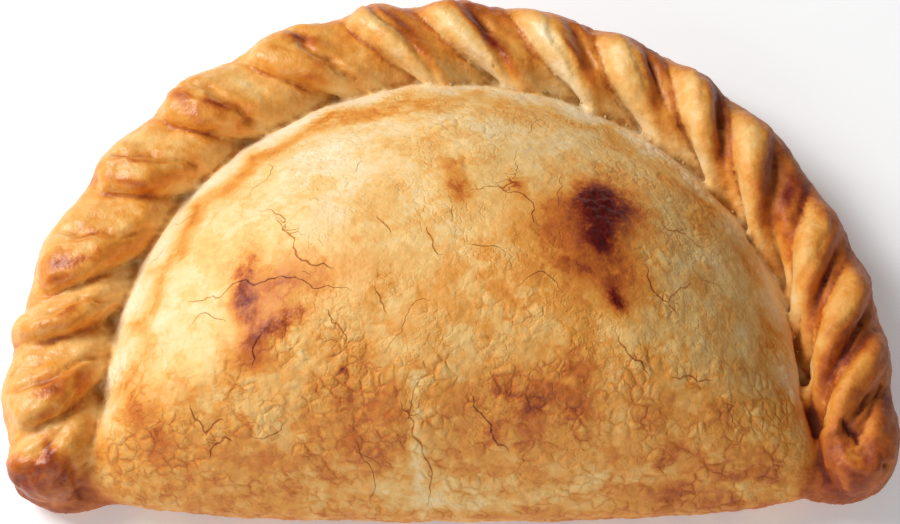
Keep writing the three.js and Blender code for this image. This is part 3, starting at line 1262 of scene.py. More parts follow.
@dataclass(frozen=True)
class DomeBrowning:
    """How far the dome browns: pale beside the rope, golden further in and brown down the front."""

    base: float = 0.34
    front: float = 0.14
    front_y: Pair = (-22 * MM, -42 * MM)
    beside: float = -0.22
    beside_gaps: Pair = (10 * MM, 3 * MM)
    beside_y: Pair = (-41 * MM, -31 * MM)
    tide: float = 0.17
    tide_gap: float = 11 * MM
    tide_sway: float = 3 * MM
    tide_length: float = 10 * MM
    tide_width: float = 3.2 * MM
    tide_y: Pair = (-34 * MM, -20 * MM)
    tide_right: float = 0.5
    tide_right_x: Pair = (-20 * MM, 10 * MM)
    # Painted shade: how much browner the dome is painted where it lies in hollows, such as the groove by the
    # rope.
    hollow: float = 0.16
    patch_size: float = 12 * MM
    patch_shift: float = 0.7
    seam: float = -0.15
    seam_width: float = 1.0 * MM
    seam_sway: float = 0.8 * MM
    seam_length: float = 3 * MM
    seam_front: float = -30 * MM
    seam_height: float = 1 * MM

    def level(self, skin: Skin, deep: Array) -> Array:
        """Brown the dome, with painted shade in its hollows.

        Args:
            skin: Places on the crust.
            deep: How far they lie in hollows, 0 to 1.

        Returns:
            The level of browning, from 0, pale dough, to 1, burnt.
        """
        x, y, _ = skin.points.T
        beside = smooth_step(*self.beside_gaps, skin.outside) * smooth_step(*self.beside_y, y)
        shore = skin.outside + self.tide_sway * waver(skin.points, self.tide_length)
        tide = bell(shore, self.tide_gap, self.tide_width) * smooth_step(*self.tide_y, y)
        tide *= mix(1, self.tide_right, smooth_step(*self.tide_right_x, x))
        level = self.base + self.front * smooth_step(*self.front_y, y)
        level += self.beside * beside + self.tide * tide
        level += total(PATCHES, x, y) + self.seam * self._seams(skin.points)
        patches = 0.5 + 0.5 * waver(skin.points + self.patch_shift, self.patch_size)
        # Painted shade: places in hollows are painted browner, unevenly.
        return level + self.hollow * deep * patches

    def _seams(self, points: Array) -> Array:
        """Draw the pale seams down the front.

        Args:
            points: Rows of x, y, z.

        Returns:
            1 on the seams, falling to 0 away from them.
        """
        found = np.zeros(len(points))
        spots = np.flatnonzero((points[:, 1] < self.seam_front) & (points[:, 2] > self.seam_height))
        plan = points[spots, :2] + self.seam_sway * waver(points[spots], self.seam_length)[:, None]
        for line in PALE_SEAMS:
            away, _, _ = line_gap(plan, round_off(np.array(line) * MM))
            found[spots] = np.maximum(found[spots], bell(away, 0, self.seam_width))
        return found


@dataclass
class BakedCrust:
    """The whole pie as one skin, with the marks that baking leaves."""

    rim: Rim
    body: FilledBody
    rope: CrimpedRope
    corners: FrontCorners
    cracks: CrackLines
    rope_browning: RopeBrowning = RopeBrowning()
    dome_browning: DomeBrowning = DomeBrowning()
    voxel: float = 0.5 * MM
    smoothing: float = 0.5
    smoothing_rounds: int = 2
    least_smoothing: float = 0.02
    crevice_depths: Pair = (0.05 * MM, 0.2 * MM)
    crevice_rounds: int = 6
    crevice_smoothing: int = 8
    left_corner_x: Pair = (-52 * MM, -60 * MM)
    left_corner_y: Pair = (-36 * MM, -42 * MM)
    left_corner_smoothing: int = 36
    rope_edge: Pair = (1.5 * MM, 0.4 * MM)
    rising: Pair = (0.5 * MM, 3 * MM)
    front_y: Pair = (-18 * MM, -36 * MM)
    crazed_size: float = 13 * MM
    crazed_patches: Pair = (0.0, 0.5)
    crazed_share: float = 0.5
    crazed_least: float = 0.06
    pebble_size: float = 3.0 * MM
    pebble_height: float = 0.16 * MM
    pebble_edge: float = 0.4
    pebble_level: float = 0.6
    pebble_swing: float = 0.6
    ripple_size: float = 9 * MM
    ripple_height: float = 0.34 * MM
    rope_ripple: float = 0.5
    wrinkle_size: float = 1.9 * MM
    wrinkle_height: float = 0.1 * MM
    wrinkle_stretch: Triple = (1.0, 1.5, 1.0)
    pleat_height: float = 0.42 * MM
    pleat_waves: Pair = (4.2, 1.3)
    pleat_shift: float = 7.7
    pleat_edge: float = 0.1
    pleat_rope: float = 0.1
    crease_x: float = 55 * MM
    crease_y: float = -12 * MM
    crease_z: float = 4 * MM
    dent_heights: Pair = (4 * MM, 7 * MM)
    hollow_rounds: int = 20
    hollow_depths: Pair = (0.04 * MM, 0.5 * MM)
    left_hollows: float = 0.6
    hollow_shares: Pair = (0.35, 0.6)
    gloss_shares: Pair = (0.85, 0.5)
    blister_size: float = 1.9 * MM
    blister_height: float = 0.6 * MM
    blister_shift: float = 0.3
    blister_narrowing: float = 1.6
    blister_burns: Pair = (0.35, 0.75)
    underside_heights: Pair = (4 * MM, 0.5 * MM)
    underside_level: float = 0.62
    base_height: float = 0.6 * MM
    base_keep: float = 0.08
    base_pull: float = 1000
    most_triangles: int = 195_000

    def build(self) -> Piece:
        """Join the shaped dough into one skin, bake its relief, paint its browning and its painted light and
        shade.

        Returns:
            The finished crust, in place, without its material.
        """
        crust = self._one_skin()
        fields = self._bake(crust)
        for name, values in fields.items():
            write_field(crust, name, values)
        self._thin_out(crust)
        select_only(crust)
        bpy.ops.object.shade_smooth()
        return crust

    def _one_skin(self) -> Piece:
        """Join body, rope and corners and remesh them as one closed skin.

        Returns:
            The smooth skin.
        """
        pieces = [self.body.build(), self.rope.build(), *self.corners.build()]
        select_only(*pieces)
        bpy.ops.object.join()
        crust = newest("baked_crust")
        apply_modifier(crust, "REMESH", mode="VOXEL", voxel_size=self.voxel)
        apply_modifier(crust, "SMOOTH", factor=self.smoothing, iterations=self.smoothing_rounds)
        # The dough has run together at the bottom of the crevices.
        crevices = smooth_step(*self.crevice_depths, hollows(crust, self.crevice_rounds))
        self._smooth_where(crust, crevices, self.crevice_smoothing)
        # The left heel is worked into the end of the rope.
        x, y, _ = read_points(crust).T
        left_corner = smooth_step(*self.left_corner_x, x) * smooth_step(*self.left_corner_y, y)
        self._smooth_where(crust, left_corner, self.left_corner_smoothing)
        bpy.ops.object.transform_apply(location=True, rotation=True, scale=True)
        return crust

    def _smooth_where(self, crust: Piece, shares: Array, rounds: int) -> None:
        """Smooth a mesh in places.

        Args:
            crust: The object with the mesh.
            shares: How far each vertex takes part, 0 to 1.
            rounds: How often the places are smoothed.
        """
        group = crust.vertex_groups.new(name="smoothed")
        for index in np.flatnonzero(shares > self.least_smoothing).tolist():
            group.add([index], float(shares[index]), "REPLACE")
        settings = {"factor": self.smoothing, "iterations": rounds, "vertex_group": group.name}
        apply_modifier(crust, "SMOOTH", **settings)
        crust.vertex_groups.clear()

    def _survey(self, points: Array) -> Skin:
        """Find where places on the skin lie beside the rim and on its folds.

        Args:
            points: Rows of x, y, z.

        Returns:
            What is known about the places.
        """
        run, angle, away = self.rim.locate(points)
        folds = self.rope.folds.place(run, angle)
        swell = folds.height * self.rope.fold_fade(run) * self.rope.bluntness_at(run)
        outside = away - self.rope.roll_radius(run, angle) - swell
        corner = self.corners.cover(points)
        rope = np.maximum(smooth_step(*self.rope_edge, outside), corner)
        return Skin(points, run / self.rim.length, folds, outside, corner, rope)

    def _bake(self, crust: Piece) -> dict[str, Array]:
        """Push the skin in and out by its fine relief, and find how it browns and where shade is painted.

        Args:
            crust: The smooth skin.

        Returns:
            What the material reads at each vertex, by name.
        """
        points = read_points(crust)
        skin = self._survey(points)
        x, y, z = points.T
        dome = 1 - skin.rope
        top = smooth_step(*self.rising, z)
        burn = np.clip(total(BURNS, x, y), 0, 1) * dome
        patches = smooth_step(*self.crazed_patches, waver(points, self.crazed_size))
        crazed = smooth_step(*self.front_y, y) + self.crazed_share * patches + self.crazed_least
        crazed = np.clip(crazed, 0, 1) * dome * top
        lift = self._relief(points, skin.rope, crazed, burn) + self._pleats(skin.folds, skin.rope)
        lift -= self._dents(points)
        write_points(crust, points + read_normals(crust) * (lift * top)[:, None])
        crack, crack_width = self.cracks.measure(x, y)
        deep = smooth_step(*self.hollow_depths, hollows(crust, self.hollow_rounds))
        return {
            "bake": self._browning(skin, deep),
            # How deep each place lies in hollows, weaker at the left: the material paints shade there and
            # dulls its gloss.
            "deep": deep * mix(self.left_hollows, 1, smooth_step(*self.hollow_shares, skin.share)),
            "gloss": skin.rope * (1 - skin.corner) * smooth_step(*self.gloss_shares, skin.share),
            "burn": burn,
            "rope": skin.rope,
            "crazed": crazed,
            "crack": crack / MM,
            "crack_width": crack_width / MM * dome * top,
        }

    def _relief(self, points: Array, rope: Array, crazed: Array, burn: Array) -> Array:
        """Raise ripples, wrinkles, the plates of the dry crust and the blisters of the burns.

        Args:
            points: Rows of x, y, z.
            rope: 1 on the rope and 0 on the dome.
            crazed: How far the crust is split into plates, 0 to 1.
            burn: How far it is burnt, 0 to 1.

        Returns:
            The skin's rise.
        """
        _, edge = cells(points, self.pebble_size)
        pebble = smooth_step(0, self.pebble_edge, edge) - self.pebble_level
        bubble, _ = cells(points + self.blister_shift, self.blister_size)
        blister = np.clip(1 - self.blister_narrowing * bubble, 0, 1) * smooth_step(*self.blister_burns, burn)
        ripple = waver(points, self.ripple_size)
        lift = self.ripple_height * ripple * mix(1, self.rope_ripple, rope)
        lift += self.pebble_height * pebble * (1 + self.pebble_swing * ripple) * crazed
        drawn = points * np.array(self.wrinkle_stretch)
        lift += self.wrinkle_height * waver(drawn, self.wrinkle_size, octaves=3)
        return lift + self.blister_height * blister

    def _pleats(self, folds: FoldPlace, rope: Array) -> Array:
        """Raise the uneven pleats that run along the folds.

        Args:
            folds: Places on the folds.
            rope: 1 on the rope and 0 on the dome.

        Returns:
            The skin's rise.
        """
        lift = np.zeros(len(rope))
        spots = np.flatnonzero(rope > self.pleat_rope)
        across, turn = folds.across[spots], folds.turn[spots]
        crosswise, lengthwise = self.pleat_waves
        wave = across * crosswise + folds.number[spots] * self.pleat_shift
        pattern = np.column_stack([wave, turn * lengthwise, np.zeros(len(spots))])
        edge = smooth_step(0, self.pleat_edge, np.minimum(across, 1 - across))
        lift[spots] = self.pleat_height * waver(pattern, size=1.0, octaves=3) * rope[spots] * edge
        return lift

    def _dents(self, points: Array) -> Array:
        """Press creases and dents into the ends of the rope.

        Args:
            points: Rows of x, y, z.

        Returns:
            Their depth.
        """
        x, y, z = points.T
        depth = total(DENTS, x, y) * smooth_step(*self.dent_heights, z)
        spots = np.flatnonzero((np.abs(x) > self.crease_x) & (y < self.crease_y) & (z > self.crease_z))
        for crease in CREASES:
            depth[spots] += crease.press(points[spots, :2])
        return depth

    def _browning(self, skin: Skin, deep: Array) -> Array:
        """Work out how far each place has browned, adding painted light and shade.

        Args:
            skin: Places on the crust.
            deep: How far they lie in hollows, 0 to 1.

        Returns:
            The level of browning, from 0, pale dough, to 1, burnt.
        """
        level = mix(self.dome_browning.level(skin, deep), self.rope_browning.level(skin, deep), skin.rope)
        underside = smooth_step(*self.underside_heights, skin.points[:, 2])
        return np.clip(mix(level, self.underside_level, underside), 0, 1)

    def _thin_out(self, crust: Piece) -> None:
        """Leave fewer faces on the flat underside, and then wherever the skin bends least.

        Args:
            crust: The object with the mesh.
        """
        points = read_points(crust)
        group = crust.vertex_groups.new(name="underside")
        flat = np.flatnonzero(points[:, 2] < self.base_height)
        group.add(flat.tolist(), 1.0, "REPLACE")
        ratio = 1 - (1 - self.base_keep) * len(flat) / len(points)
        where = {"vertex_group": group.name, "vertex_group_factor": self.base_pull}
        apply_modifier(crust, "DECIMATE", ratio=ratio, **where)
        crust.vertex_groups.clear()
        # A face makes two triangles fewer than it has corners.
        triangles = len(crust.data.loops) - 2 * len(crust.data.polygons)
        apply_modifier(crust, "DECIMATE", ratio=self.most_triangles / triangles)


@dataclass
class GrooveCrumbs:
    """Pale flakes of dough caught in the groove beside the rope."""

    rim: Rim
    dice: Dice
    count: int = 40
    runs: Pair = (112 * MM, 228 * MM)
    insets: Pair = (5 * MM, 11 * MM)
    spread: float = 0.5 * MM
    half_sizes: Pair = (0.12 * MM, 0.36 * MM)
    breadth: float = 0.8
    flatness: float = 0.45
    longest: float = 0.5
    unevenness: float = 0.35
    bump_size: float = 0.9
    fineness: int = 2
    lift: float = 0.2
    tries: int = 25
    above: float = 1.0

    def build(self, crust: Piece) -> Piece:
        """Scatter the flakes on the crust.

        Args:
            crust: The finished crust, which they lie on.

        Returns:
            All flakes as one mesh, in place.
        """
        flakes = []
        for _ in range(self.count):
            run = mix(*self.runs, 0.5 + 0.5 * self.dice.roll())
            size = mix(*self.half_sizes, abs(self.dice.roll()) ** 2)
            turn = math.pi * self.dice.roll()
            spot, normal = self._settle(crust, run)
            flakes.append(self._flake(spot + normal * self.lift * size, normal, size, turn))
        select_only(*flakes)
        bpy.ops.object.join()
        crumbs = newest("groove_crumbs")
        bpy.ops.object.transform_apply(location=True, rotation=True, scale=True)
        bpy.ops.object.shade_smooth()
        return crumbs

    def _settle(self, crust: Piece, run: float) -> tuple[Vector, Vector]:
        """Find a place near the bottom of the groove.

        Args:
            crust: The crust, seen from above.
            run: The distance along the rim.

        Returns:
            The place and the skin's direction there.
        """
        insets = np.linspace(*self.insets, self.tries)
        centre, outward = self.rim.place(np.full(len(insets), run))
        down = Vector((0, 0, -1))
        starts = [Vector((*place, self.above)) for place in centre - outward * insets[:, None]]
        lowest = min((crust.ray_cast(start, down)[1] for start in starts), key=lambda spot: spot.z)
        shift = Vector((self.dice.roll(), self.dice.roll(), 0)) * self.spread
        _, spot, normal, _ = crust.ray_cast(Vector((lowest.x, lowest.y, self.above)) + shift, down)
        return spot, normal

    def _flake(self, place: Vector, normal: Vector, size: float, turn: float) -> Piece:
        """Model one uneven flake that lies along the skin.

        Args:
            place: Its middle.
            normal: The skin's direction there.
            size: Its half size.
            turn: How far it is turned on the skin.

        Returns:
            The flake as a closed mesh.
        """
        bpy.ops.mesh.primitive_ico_sphere_add(subdivisions=self.fineness, radius=1)
        flake = newest("flake")
        points = read_points(flake)
        stretch = np.array([1 + self.longest * abs(self.dice.roll()), self.breadth, self.flatness])
        points *= (1 + self.unevenness * waver(points + place, self.bump_size))[:, None] * stretch
        write_points(flake, points * size)
        flake.rotation_euler = normal.to_track_quat("Z", "Y").to_euler()
        flake.rotation_euler.rotate_axis("Z", turn)
        flake.location = place
        return flake


# Finish


def linear(red: int, green: int, blue: int) -> tuple[float, float, float, float]:
    """Turn a colour as a screen shows it, 0 to 255, into one for a shader, by the sRGB curve."""
    shares = [value / 255 for value in (red, green, blue)]
    return (*(s / 12.92 if s <= 0.04045 else ((s + 0.055) / 1.055) ** 2.4 for s in shares), 1.0)


class Sockets(Enum):
    """Kinds of socket on a node group."""

    VALUE = "NodeSocketFloat"
    COLOUR = "NodeSocketColor"
    VECTOR = "NodeSocketVector"


class Mixed(Enum):
    """What a mix node mixes: its data type, its two inputs and its output."""

    COLOURS = ("RGBA", 6, 7, 2)
    NUMBERS = ("FLOAT", 2, 3, 0)


class Sheet:
    """A node tree with short words for the nodes that a finish uses."""

    def __init__(self, tree: bpy.types.NodeTree) -> None:
        """Work on a tree."""
        self.tree = tree

    def add(self, kind: str, **settings: Any) -> bpy.types.Node:
        """Add a node.

        Args:
            kind: Its type.
            settings: Its properties by name.

        Returns:
            The node.
        """
        node = self.tree.nodes.new(kind)
        for name, value in settings.items():
            setattr(node, name, value)
        return node

    def feed(self, socket: Socket, source: Any) -> None:
        """Link a socket to another, or set its value.

        Args:
            socket: The input.
            source: A node's output, or the value.
        """
        if isinstance(source, Socket):
            self.tree.links.new(source, socket)
        else:
            socket.default_value = source

    def math(self, how: str, first: Any, second: Any = 0.0, clamp: bool = False) -> Socket:
        """Combine two values.

        Args:
            how: The operation's name.
            first: A value or an output.
            second: A value or an output.
            clamp: Whether the result is kept from 0 to 1.

        Returns:
            The result's output.
        """
        node = self.add("ShaderNodeMath", operation=how, use_clamp=clamp)
        self.feed(node.inputs[0], first)
        self.feed(node.inputs[1], second)
        return node.outputs[0]

    def add_up(self, start: Any, *parts: tuple[Any, float]) -> Socket:
        """Add weighted values to a value.

        Args:
            start: The value or output to start from.
            parts: The values and their weights.

        Returns:
            The sum's output.
        """
        result = start
        for source, weight in parts:
            result = self.math("ADD", result, self.math("MULTIPLY", source, weight))
        return result

    def centred(self, value: Any) -> Socket:
        """Shift a value that goes from 0 to 1 so that its middle is 0."""
        return self.math("SUBTRACT", value, 0.5)

    def ease(self, value: Any, low: float, high: float) -> Socket:
        """Ease a value from 0 at low to 1 at high.

        Args:
            value: The value or output.
            low: Where the result is 0.
            high: Where the result is 1.

        Returns:
            The result's output.
        """
        node = self.add("ShaderNodeMapRange", interpolation_type="SMOOTHSTEP")
        for name, source in (("Value", value), ("From Min", low), ("From Max", high)):
            self.feed(node.inputs[name], source)
        return node.outputs[0]

    def blend(self, what: Mixed, share: Any, first: Any, second: Any) -> Socket:
        """Mix two colours or two numbers.

        Args:
            what: Which of the two.
            share: How far the second counts, 0 to 1.
            first: A value or an output.
            second: A value or an output.

        Returns:
            The mixture's output.
        """
        kind, low, high, result = what.value
        node = self.add("ShaderNodeMix", data_type=kind)
        for index, source in ((0, share), (low, first), (high, second)):
            self.feed(node.inputs[index], source)
        return node.outputs[result]

    def bumps(self, place: Any, size: float, detail: float, rough: float = 0.5) -> bpy.types.Node:
        """Add soft noise.

        Args:
            place: The output that gives the place.
            size: About how large its bumps are.
            detail: How many finer layers it has.
            rough: How strong they are.

        Returns:
            The node.
        """
        node = self.add("ShaderNodeTexNoise")
        settings = {"Vector": place, "Scale": 1 / size, "Detail": detail, "Roughness": rough}
        for name, source in settings.items():
            self.feed(node.inputs[name], source)
        return node

    def noise(self, place: Any, size: float, detail: float, rough: float = 0.5) -> Socket:
        """Make soft noise from about 0 to 1, with bumps about so large."""
        return self.bumps(place, size, detail, rough).outputs[0]

    def swing(self, place: Any, size: float, detail: float, rough: float = 0.5) -> Socket:
        """Make soft noise about 0, with bumps about so large."""
        return self.centred(self.noise(place, size, detail, rough))

    def cells(self, place: Any, size: float, feature: str) -> bpy.types.Node:
        """Split space into uneven cells.

        Args:
            place: The output that gives the place.
            size: The cells' spacing.
            feature: What is measured in them.

        Returns:
            The node.
        """
        node = self.add("ShaderNodeTexVoronoi", feature=feature)
        self.feed(node.inputs["Vector"], place)
        self.feed(node.inputs["Scale"], 1 / size)
        return node

    def vectors(self, how: str, first: Any, second: Any) -> Socket:
        """Combine two vectors, or scale one by a number.

        Args:
            how: The operation's name.
            first: A vector or an output.
            second: A vector, an output or the number.

        Returns:
            The result's output.
        """
        node = self.add("ShaderNodeVectorMath", operation=how)
        self.feed(node.inputs[0], first)
        self.feed(node.inputs["Scale" if how == "SCALE" else 1], second)
        return node.outputs[0]

    def field(self, name: str) -> Socket:
        """Read a number stored on the mesh."""
        return self.add("ShaderNodeAttribute", attribute_name=name).outputs["Fac"]


def new_group(name: str, inputs: dict[str, Sockets], outputs: dict[str, Sockets]) -> tuple[Sheet, Any, Any]:
    """Start a shader node group.

    Args:
        name: The group's name.
        inputs: Its input sockets by name.
        outputs: Its output sockets by name.

    Returns:
        The sheet to work on, and the sockets that bring values in and take them out.
    """
    tree = bpy.data.node_groups.new(name, "ShaderNodeTree")
    for in_out, sockets in (("INPUT", inputs), ("OUTPUT", outputs)):
        for label, kind in sockets.items():
            tree.interface.new_socket(name=label, in_out=in_out, socket_type=kind.value)
    sheet = Sheet(tree)
    return sheet, sheet.add("NodeGroupInput").outputs, sheet.add("NodeGroupOutput").inputs


@dataclass(frozen=True)
class BrowningColours:
    """The colours that dough passes through in the oven, from pale to burnt."""

    stops: tuple[tuple[float, tuple[int, int, int]], ...] = (
        (0.0, (248, 232, 200)),
        (0.16, (244, 218, 170)),
        (0.32, (240, 192, 116)),
        (0.48, (228, 153, 62)),
        (0.62, (200, 108, 30)),
        (0.76, (150, 64, 14)),
        (0.88, (114, 25, 5)),
        (1.0, (86, 9, 2)),
    )
    mottling: tuple[Triple, ...] = ((15 * MM, 3, 0.32), (4.5 * MM, 4, 0.19), (1.3 * MM, 5, 0.18))
    mottling_roughness: float = 0.6
    wash_size: float = 9 * MM
    wash_detail: float = 6
    wash_roughness: float = 0.65
    wash_edge: Pair = (0.475, 0.545)
    wash_weight: float = 0.07

    def group(self) -> bpy.types.NodeTree:
        """Build the node group that turns a level of browning into a mottled colour.

        Returns:
            The group, which takes the level, a share of the wash and the place.
        """
        inputs = {"Level": Sockets.VALUE, "Wash": Sockets.VALUE, "Place": Sockets.VECTOR}
        sheet, given, result = new_group("Browning", inputs, {"Colour": Sockets.COLOUR})
        level = given["Level"]
        for size, detail, weight in self.mottling:
            swing = sheet.swing(given["Place"], size, detail, self.mottling_roughness)
            level = sheet.add_up(level, (swing, weight))
        wash = sheet.noise(given["Place"], self.wash_size, self.wash_detail, self.wash_roughness)
        wash = sheet.centred(sheet.ease(wash, *self.wash_edge))
        level = sheet.add_up(level, (sheet.math("MULTIPLY", wash, given["Wash"]), self.wash_weight))
        ramp = sheet.add("ShaderNodeValToRGB")
        elements = ramp.color_ramp.elements
        elements.remove(elements[1])
        for index, (place, colour) in enumerate(self.stops):
            element = elements[0] if index == 0 else elements.new(place)
            element.position = place
            element.color = linear(*colour)
        sheet.feed(ramp.inputs[0], level)
        sheet.feed(result["Colour"], ramp.outputs[0])
        return sheet.tree


@dataclass(frozen=True)
class CrazedPlates:
    """The dry crust's small plates, with furrows between them."""

    plate: float = 2.5 * MM
    furrow: float = 0.14 * MM
    shoulder: float = 0.8 * MM
    wander: float = 2.2 * MM
    wander_size: float = 3 * MM
    patch_size: float = 5 * MM
    patch_edge: Pair = (0.42, 0.6)
    least_rise: float = 0.4

    def group(self) -> bpy.types.NodeTree:
        """Build the node group that splits the crust into plates.

        Returns:
            The group, which takes the place and gives the furrows as a mask, and the plates' rise and a
            shade for each, 0 to 1.
        """
        outputs = {"Furrow": Sockets.VALUE, "Rise": Sockets.VALUE, "Shade": Sockets.VALUE}
        sheet, given, result = new_group("Plates", {"Place": Sockets.VECTOR}, outputs)
        warp = sheet.bumps(given["Place"], self.wander_size, detail=3).outputs["Color"]
        shift = sheet.vectors("SUBTRACT", warp, (0.5, 0.5, 0.5))
        place = sheet.vectors("ADD", given["Place"], sheet.vectors("SCALE", shift, self.wander))
        edge = sheet.cells(place, self.plate, "DISTANCE_TO_EDGE").outputs["Distance"]
        line = sheet.ease(edge, 2 * self.furrow / self.plate, 0.0)
        held = sheet.ease(sheet.noise(given["Place"], self.patch_size, detail=2), *self.patch_edge)
        sheet.feed(result["Furrow"], sheet.math("MULTIPLY", line, held))
        rise = sheet.ease(edge, 0.0, self.shoulder / self.plate)
        sheet.feed(result["Rise"], sheet.math("MULTIPLY", rise, sheet.math("ADD", held, self.least_rise)))
        split = sheet.add("ShaderNodeSeparateColor")
        sheet.feed(split.inputs[0], sheet.cells(place, self.plate, "F1").outputs["Color"])
        sheet.feed(result["Shade"], split.outputs[0])
        return sheet.tree


@dataclass(frozen=True)
class CrustMasks:
    """Outputs in the crust's material that say what is where."""

    place: Socket
    rope: Socket
    burn: Socket
    deep: Socket
    crazed: Socket
    crack: Socket
    furrow: Socket
    plate: Socket
    shade: Socket


@dataclass(frozen=True)
class CrustFinish:
    """Baked, egg-washed pastry: mottled golden brown, crazed on the dome, glossier on the rope."""

    dull_roughness: float = 0.56
    gloss_roughness: float = 0.35
    uneven_size: float = 3 * MM
    uneven_roughness: float = 0.3
    hollow_dullness: float = 0.3
    burn_gloss: float = 0.15
    burn_dimming: float = 0.2
    shine: float = 0.38
    crack_edge: float = 0.06
    ragged_size: float = 1.8 * MM
    raggedness: float = 3.2
    ragged_roughness: float = 0.75
    scorch_level: float = 0.58
    crack_level: float = 0.2
    # Furrows between the plates are darker, partly as joints and partly as painted shade; plate edges get
    # painted shade.
    furrow_joint_and_shade_level: float = 0.07
    plate_edge_shade_level: float = 0.025
    shade_level: float = 0.035
    plain_shade: float = 0.8
    rope_wash: float = 0.5
    # Painted shade: the dark brown that the hollows are mixed towards, and how strongly.
    painted_shade_colour: tuple[int, int, int] = (58, 24, 8)
    hollow_shade: float = 0.62
    grain_size: float = 0.5 * MM
    grain_height: float = 0.14
    dimple_size: float = 1.6 * MM
    dimple_height: float = 0.8
    crinkle_size: float = 2.0 * MM
    crinkle_width: float = 0.07
    crinkle_patch: float = 8 * MM
    crinkle_edge: Pair = (0.42, 0.6)
    crinkle_depth: float = 0.2
    bubble_size: float = 1.3 * MM
    bubble_burns: Pair = (0.35, 0.8)
    bubble_depth: float = 0.8
    crack_depth: float = 0.9
    furrow_depth: float = 0.2
    plate_height: float = 0.36
    bump_depth: float = 0.42 * MM
    bump_strength: float = 0.85

    def material(self, browning: bpy.types.NodeTree, plates: bpy.types.NodeTree) -> bpy.types.Material:
        """Build the material.

        Args:
            browning: The node group that turns a level of browning into a colour.
            plates: The node group that splits the crust into plates.

        Returns:
            The material, which reads the fields stored on the crust.
        """
        material = bpy.data.materials.new("baked_crust")
        material.use_nodes = True
        material.node_tree.nodes.clear()
        sheet = Sheet(material.node_tree)
        masks = self._masks(sheet, plates)
        bump = sheet.add("ShaderNodeBump")
        sheet.feed(bump.inputs["Strength"], self.bump_strength)
        sheet.feed(bump.inputs["Distance"], self.bump_depth)
        sheet.feed(bump.inputs["Height"], self._height(sheet, masks))
        shader = sheet.add("ShaderNodeBsdfPrincipled")
        sheet.feed(shader.inputs["Base Color"], self._colour(sheet, masks, browning))
        sheet.feed(shader.inputs["Roughness"], self._roughness(sheet, masks))
        sheet.feed(shader.inputs["Normal"], bump.outputs["Normal"])
        shine = sheet.add_up(self.shine, (masks.burn, -self.burn_dimming))
        sheet.feed(shader.inputs["Specular IOR Level"], shine)
        output = sheet.add("ShaderNodeOutputMaterial")
        sheet.feed(output.inputs["Surface"], shader.outputs["BSDF"])
        return material

    def _masks(self, sheet: Sheet, plates: bpy.types.NodeTree) -> CrustMasks:
        """Read the fields stored on the crust, and draw its cracks and plates.

        Args:
            sheet: The material's nodes.
            plates: The node group that splits the crust into plates.

        Returns:
            The outputs that say what is where.
        """
        place = sheet.add("ShaderNodeTexCoord").outputs["Object"]
        crazed = sheet.field("crazed")
        away = sheet.math("ABSOLUTE", sheet.field("crack"))
        crack = sheet.math("SUBTRACT", sheet.field("crack_width"), away)
        split = sheet.add("ShaderNodeGroup", node_tree=plates)
        sheet.feed(split.inputs["Place"], place)
        return CrustMasks(
            place=place,
            rope=sheet.field("rope"),
            burn=sheet.field("burn"),
            deep=sheet.field("deep"),
            crazed=crazed,
            crack=sheet.math("DIVIDE", crack, self.crack_edge, clamp=True),
            furrow=sheet.math("MULTIPLY", split.outputs["Furrow"], crazed),
            plate=sheet.math("MULTIPLY", split.outputs["Rise"], crazed),
            shade=sheet.centred(split.outputs["Shade"]),
        )

    def _colour(self, sheet: Sheet, masks: CrustMasks, browning: bpy.types.NodeTree) -> Socket:
        """Colour the crust by how far it has browned, and darken its hollows with painted shade.

        Args:
            sheet: The material's nodes.
            masks: What is where.
            browning: The node group that turns a level of browning into a colour.

        Returns:
            The colour's output.
        """
        # Burns have ragged edges: the painted spot is broken up by noise before it counts.
        ragged = sheet.swing(masks.place, self.ragged_size, detail=5, rough=self.ragged_roughness)
        scorch = sheet.add_up(masks.burn, (sheet.math("MULTIPLY", ragged, masks.burn), self.raggedness))
        shade = sheet.math("MULTIPLY", masks.shade, sheet.math("ADD", masks.crazed, self.plain_shade))
        # The furrows and the plates' edges are also painted browner, as shade in the relief.
        level = sheet.add_up(
            sheet.field("bake"),
            (scorch, self.scorch_level),
            (masks.crack, self.crack_level),
            (masks.furrow, self.furrow_joint_and_shade_level),
            (sheet.math("SUBTRACT", masks.crazed, masks.plate), self.plate_edge_shade_level),
            (shade, self.shade_level),
        )
        colours = sheet.add("ShaderNodeGroup", node_tree=browning)
        sheet.feed(colours.inputs["Level"], level)
        sheet.feed(colours.inputs["Wash"], sheet.add_up(1.0, (masks.rope, -self.rope_wash)))
        sheet.feed(colours.inputs["Place"], masks.place)
        # Painted shade: the deeper a place lies in a hollow, the more its colour goes to a dark brown.
        dark = sheet.math("MULTIPLY", masks.deep, self.hollow_shade)
        return sheet.blend(Mixed.COLOURS, dark, colours.outputs["Colour"], linear(*self.painted_shade_colour))

    def _height(self, sheet: Sheet, masks: CrustMasks) -> Socket:
        """Raise the finest relief: grain, dimples, crinkles, plates, cracks and the burns' bubbles.

        Args:
            sheet: The material's nodes.
            masks: What is where.

        Returns:
            The height's output.
        """
        grain = sheet.noise(masks.place, self.grain_size, detail=3)
        fold = sheet.math("ABSOLUTE", sheet.swing(masks.place, self.crinkle_size, detail=3))
        crinkle = sheet.math("SUBTRACT", 1.0, masks.rope)
        crinkle = sheet.math("MULTIPLY", sheet.ease(fold, self.crinkle_width, 0.0), crinkle)
        patches = sheet.ease(sheet.noise(masks.place, self.crinkle_patch, detail=2), *self.crinkle_edge)
        bubbles = sheet.cells(masks.place, self.bubble_size, "F1").outputs["Distance"]
        return sheet.add_up(
            sheet.math("MULTIPLY", grain, self.grain_height),
            (sheet.noise(masks.place, self.dimple_size, detail=4), self.dimple_height),
            (masks.crack, -self.crack_depth),
            (masks.furrow, -self.furrow_depth),
            (masks.plate, self.plate_height),
            (sheet.math("MULTIPLY", crinkle, patches), -self.crinkle_depth),
            (sheet.math("MULTIPLY", bubbles, sheet.ease(masks.burn, *self.bubble_burns)), -self.bubble_depth),
        )

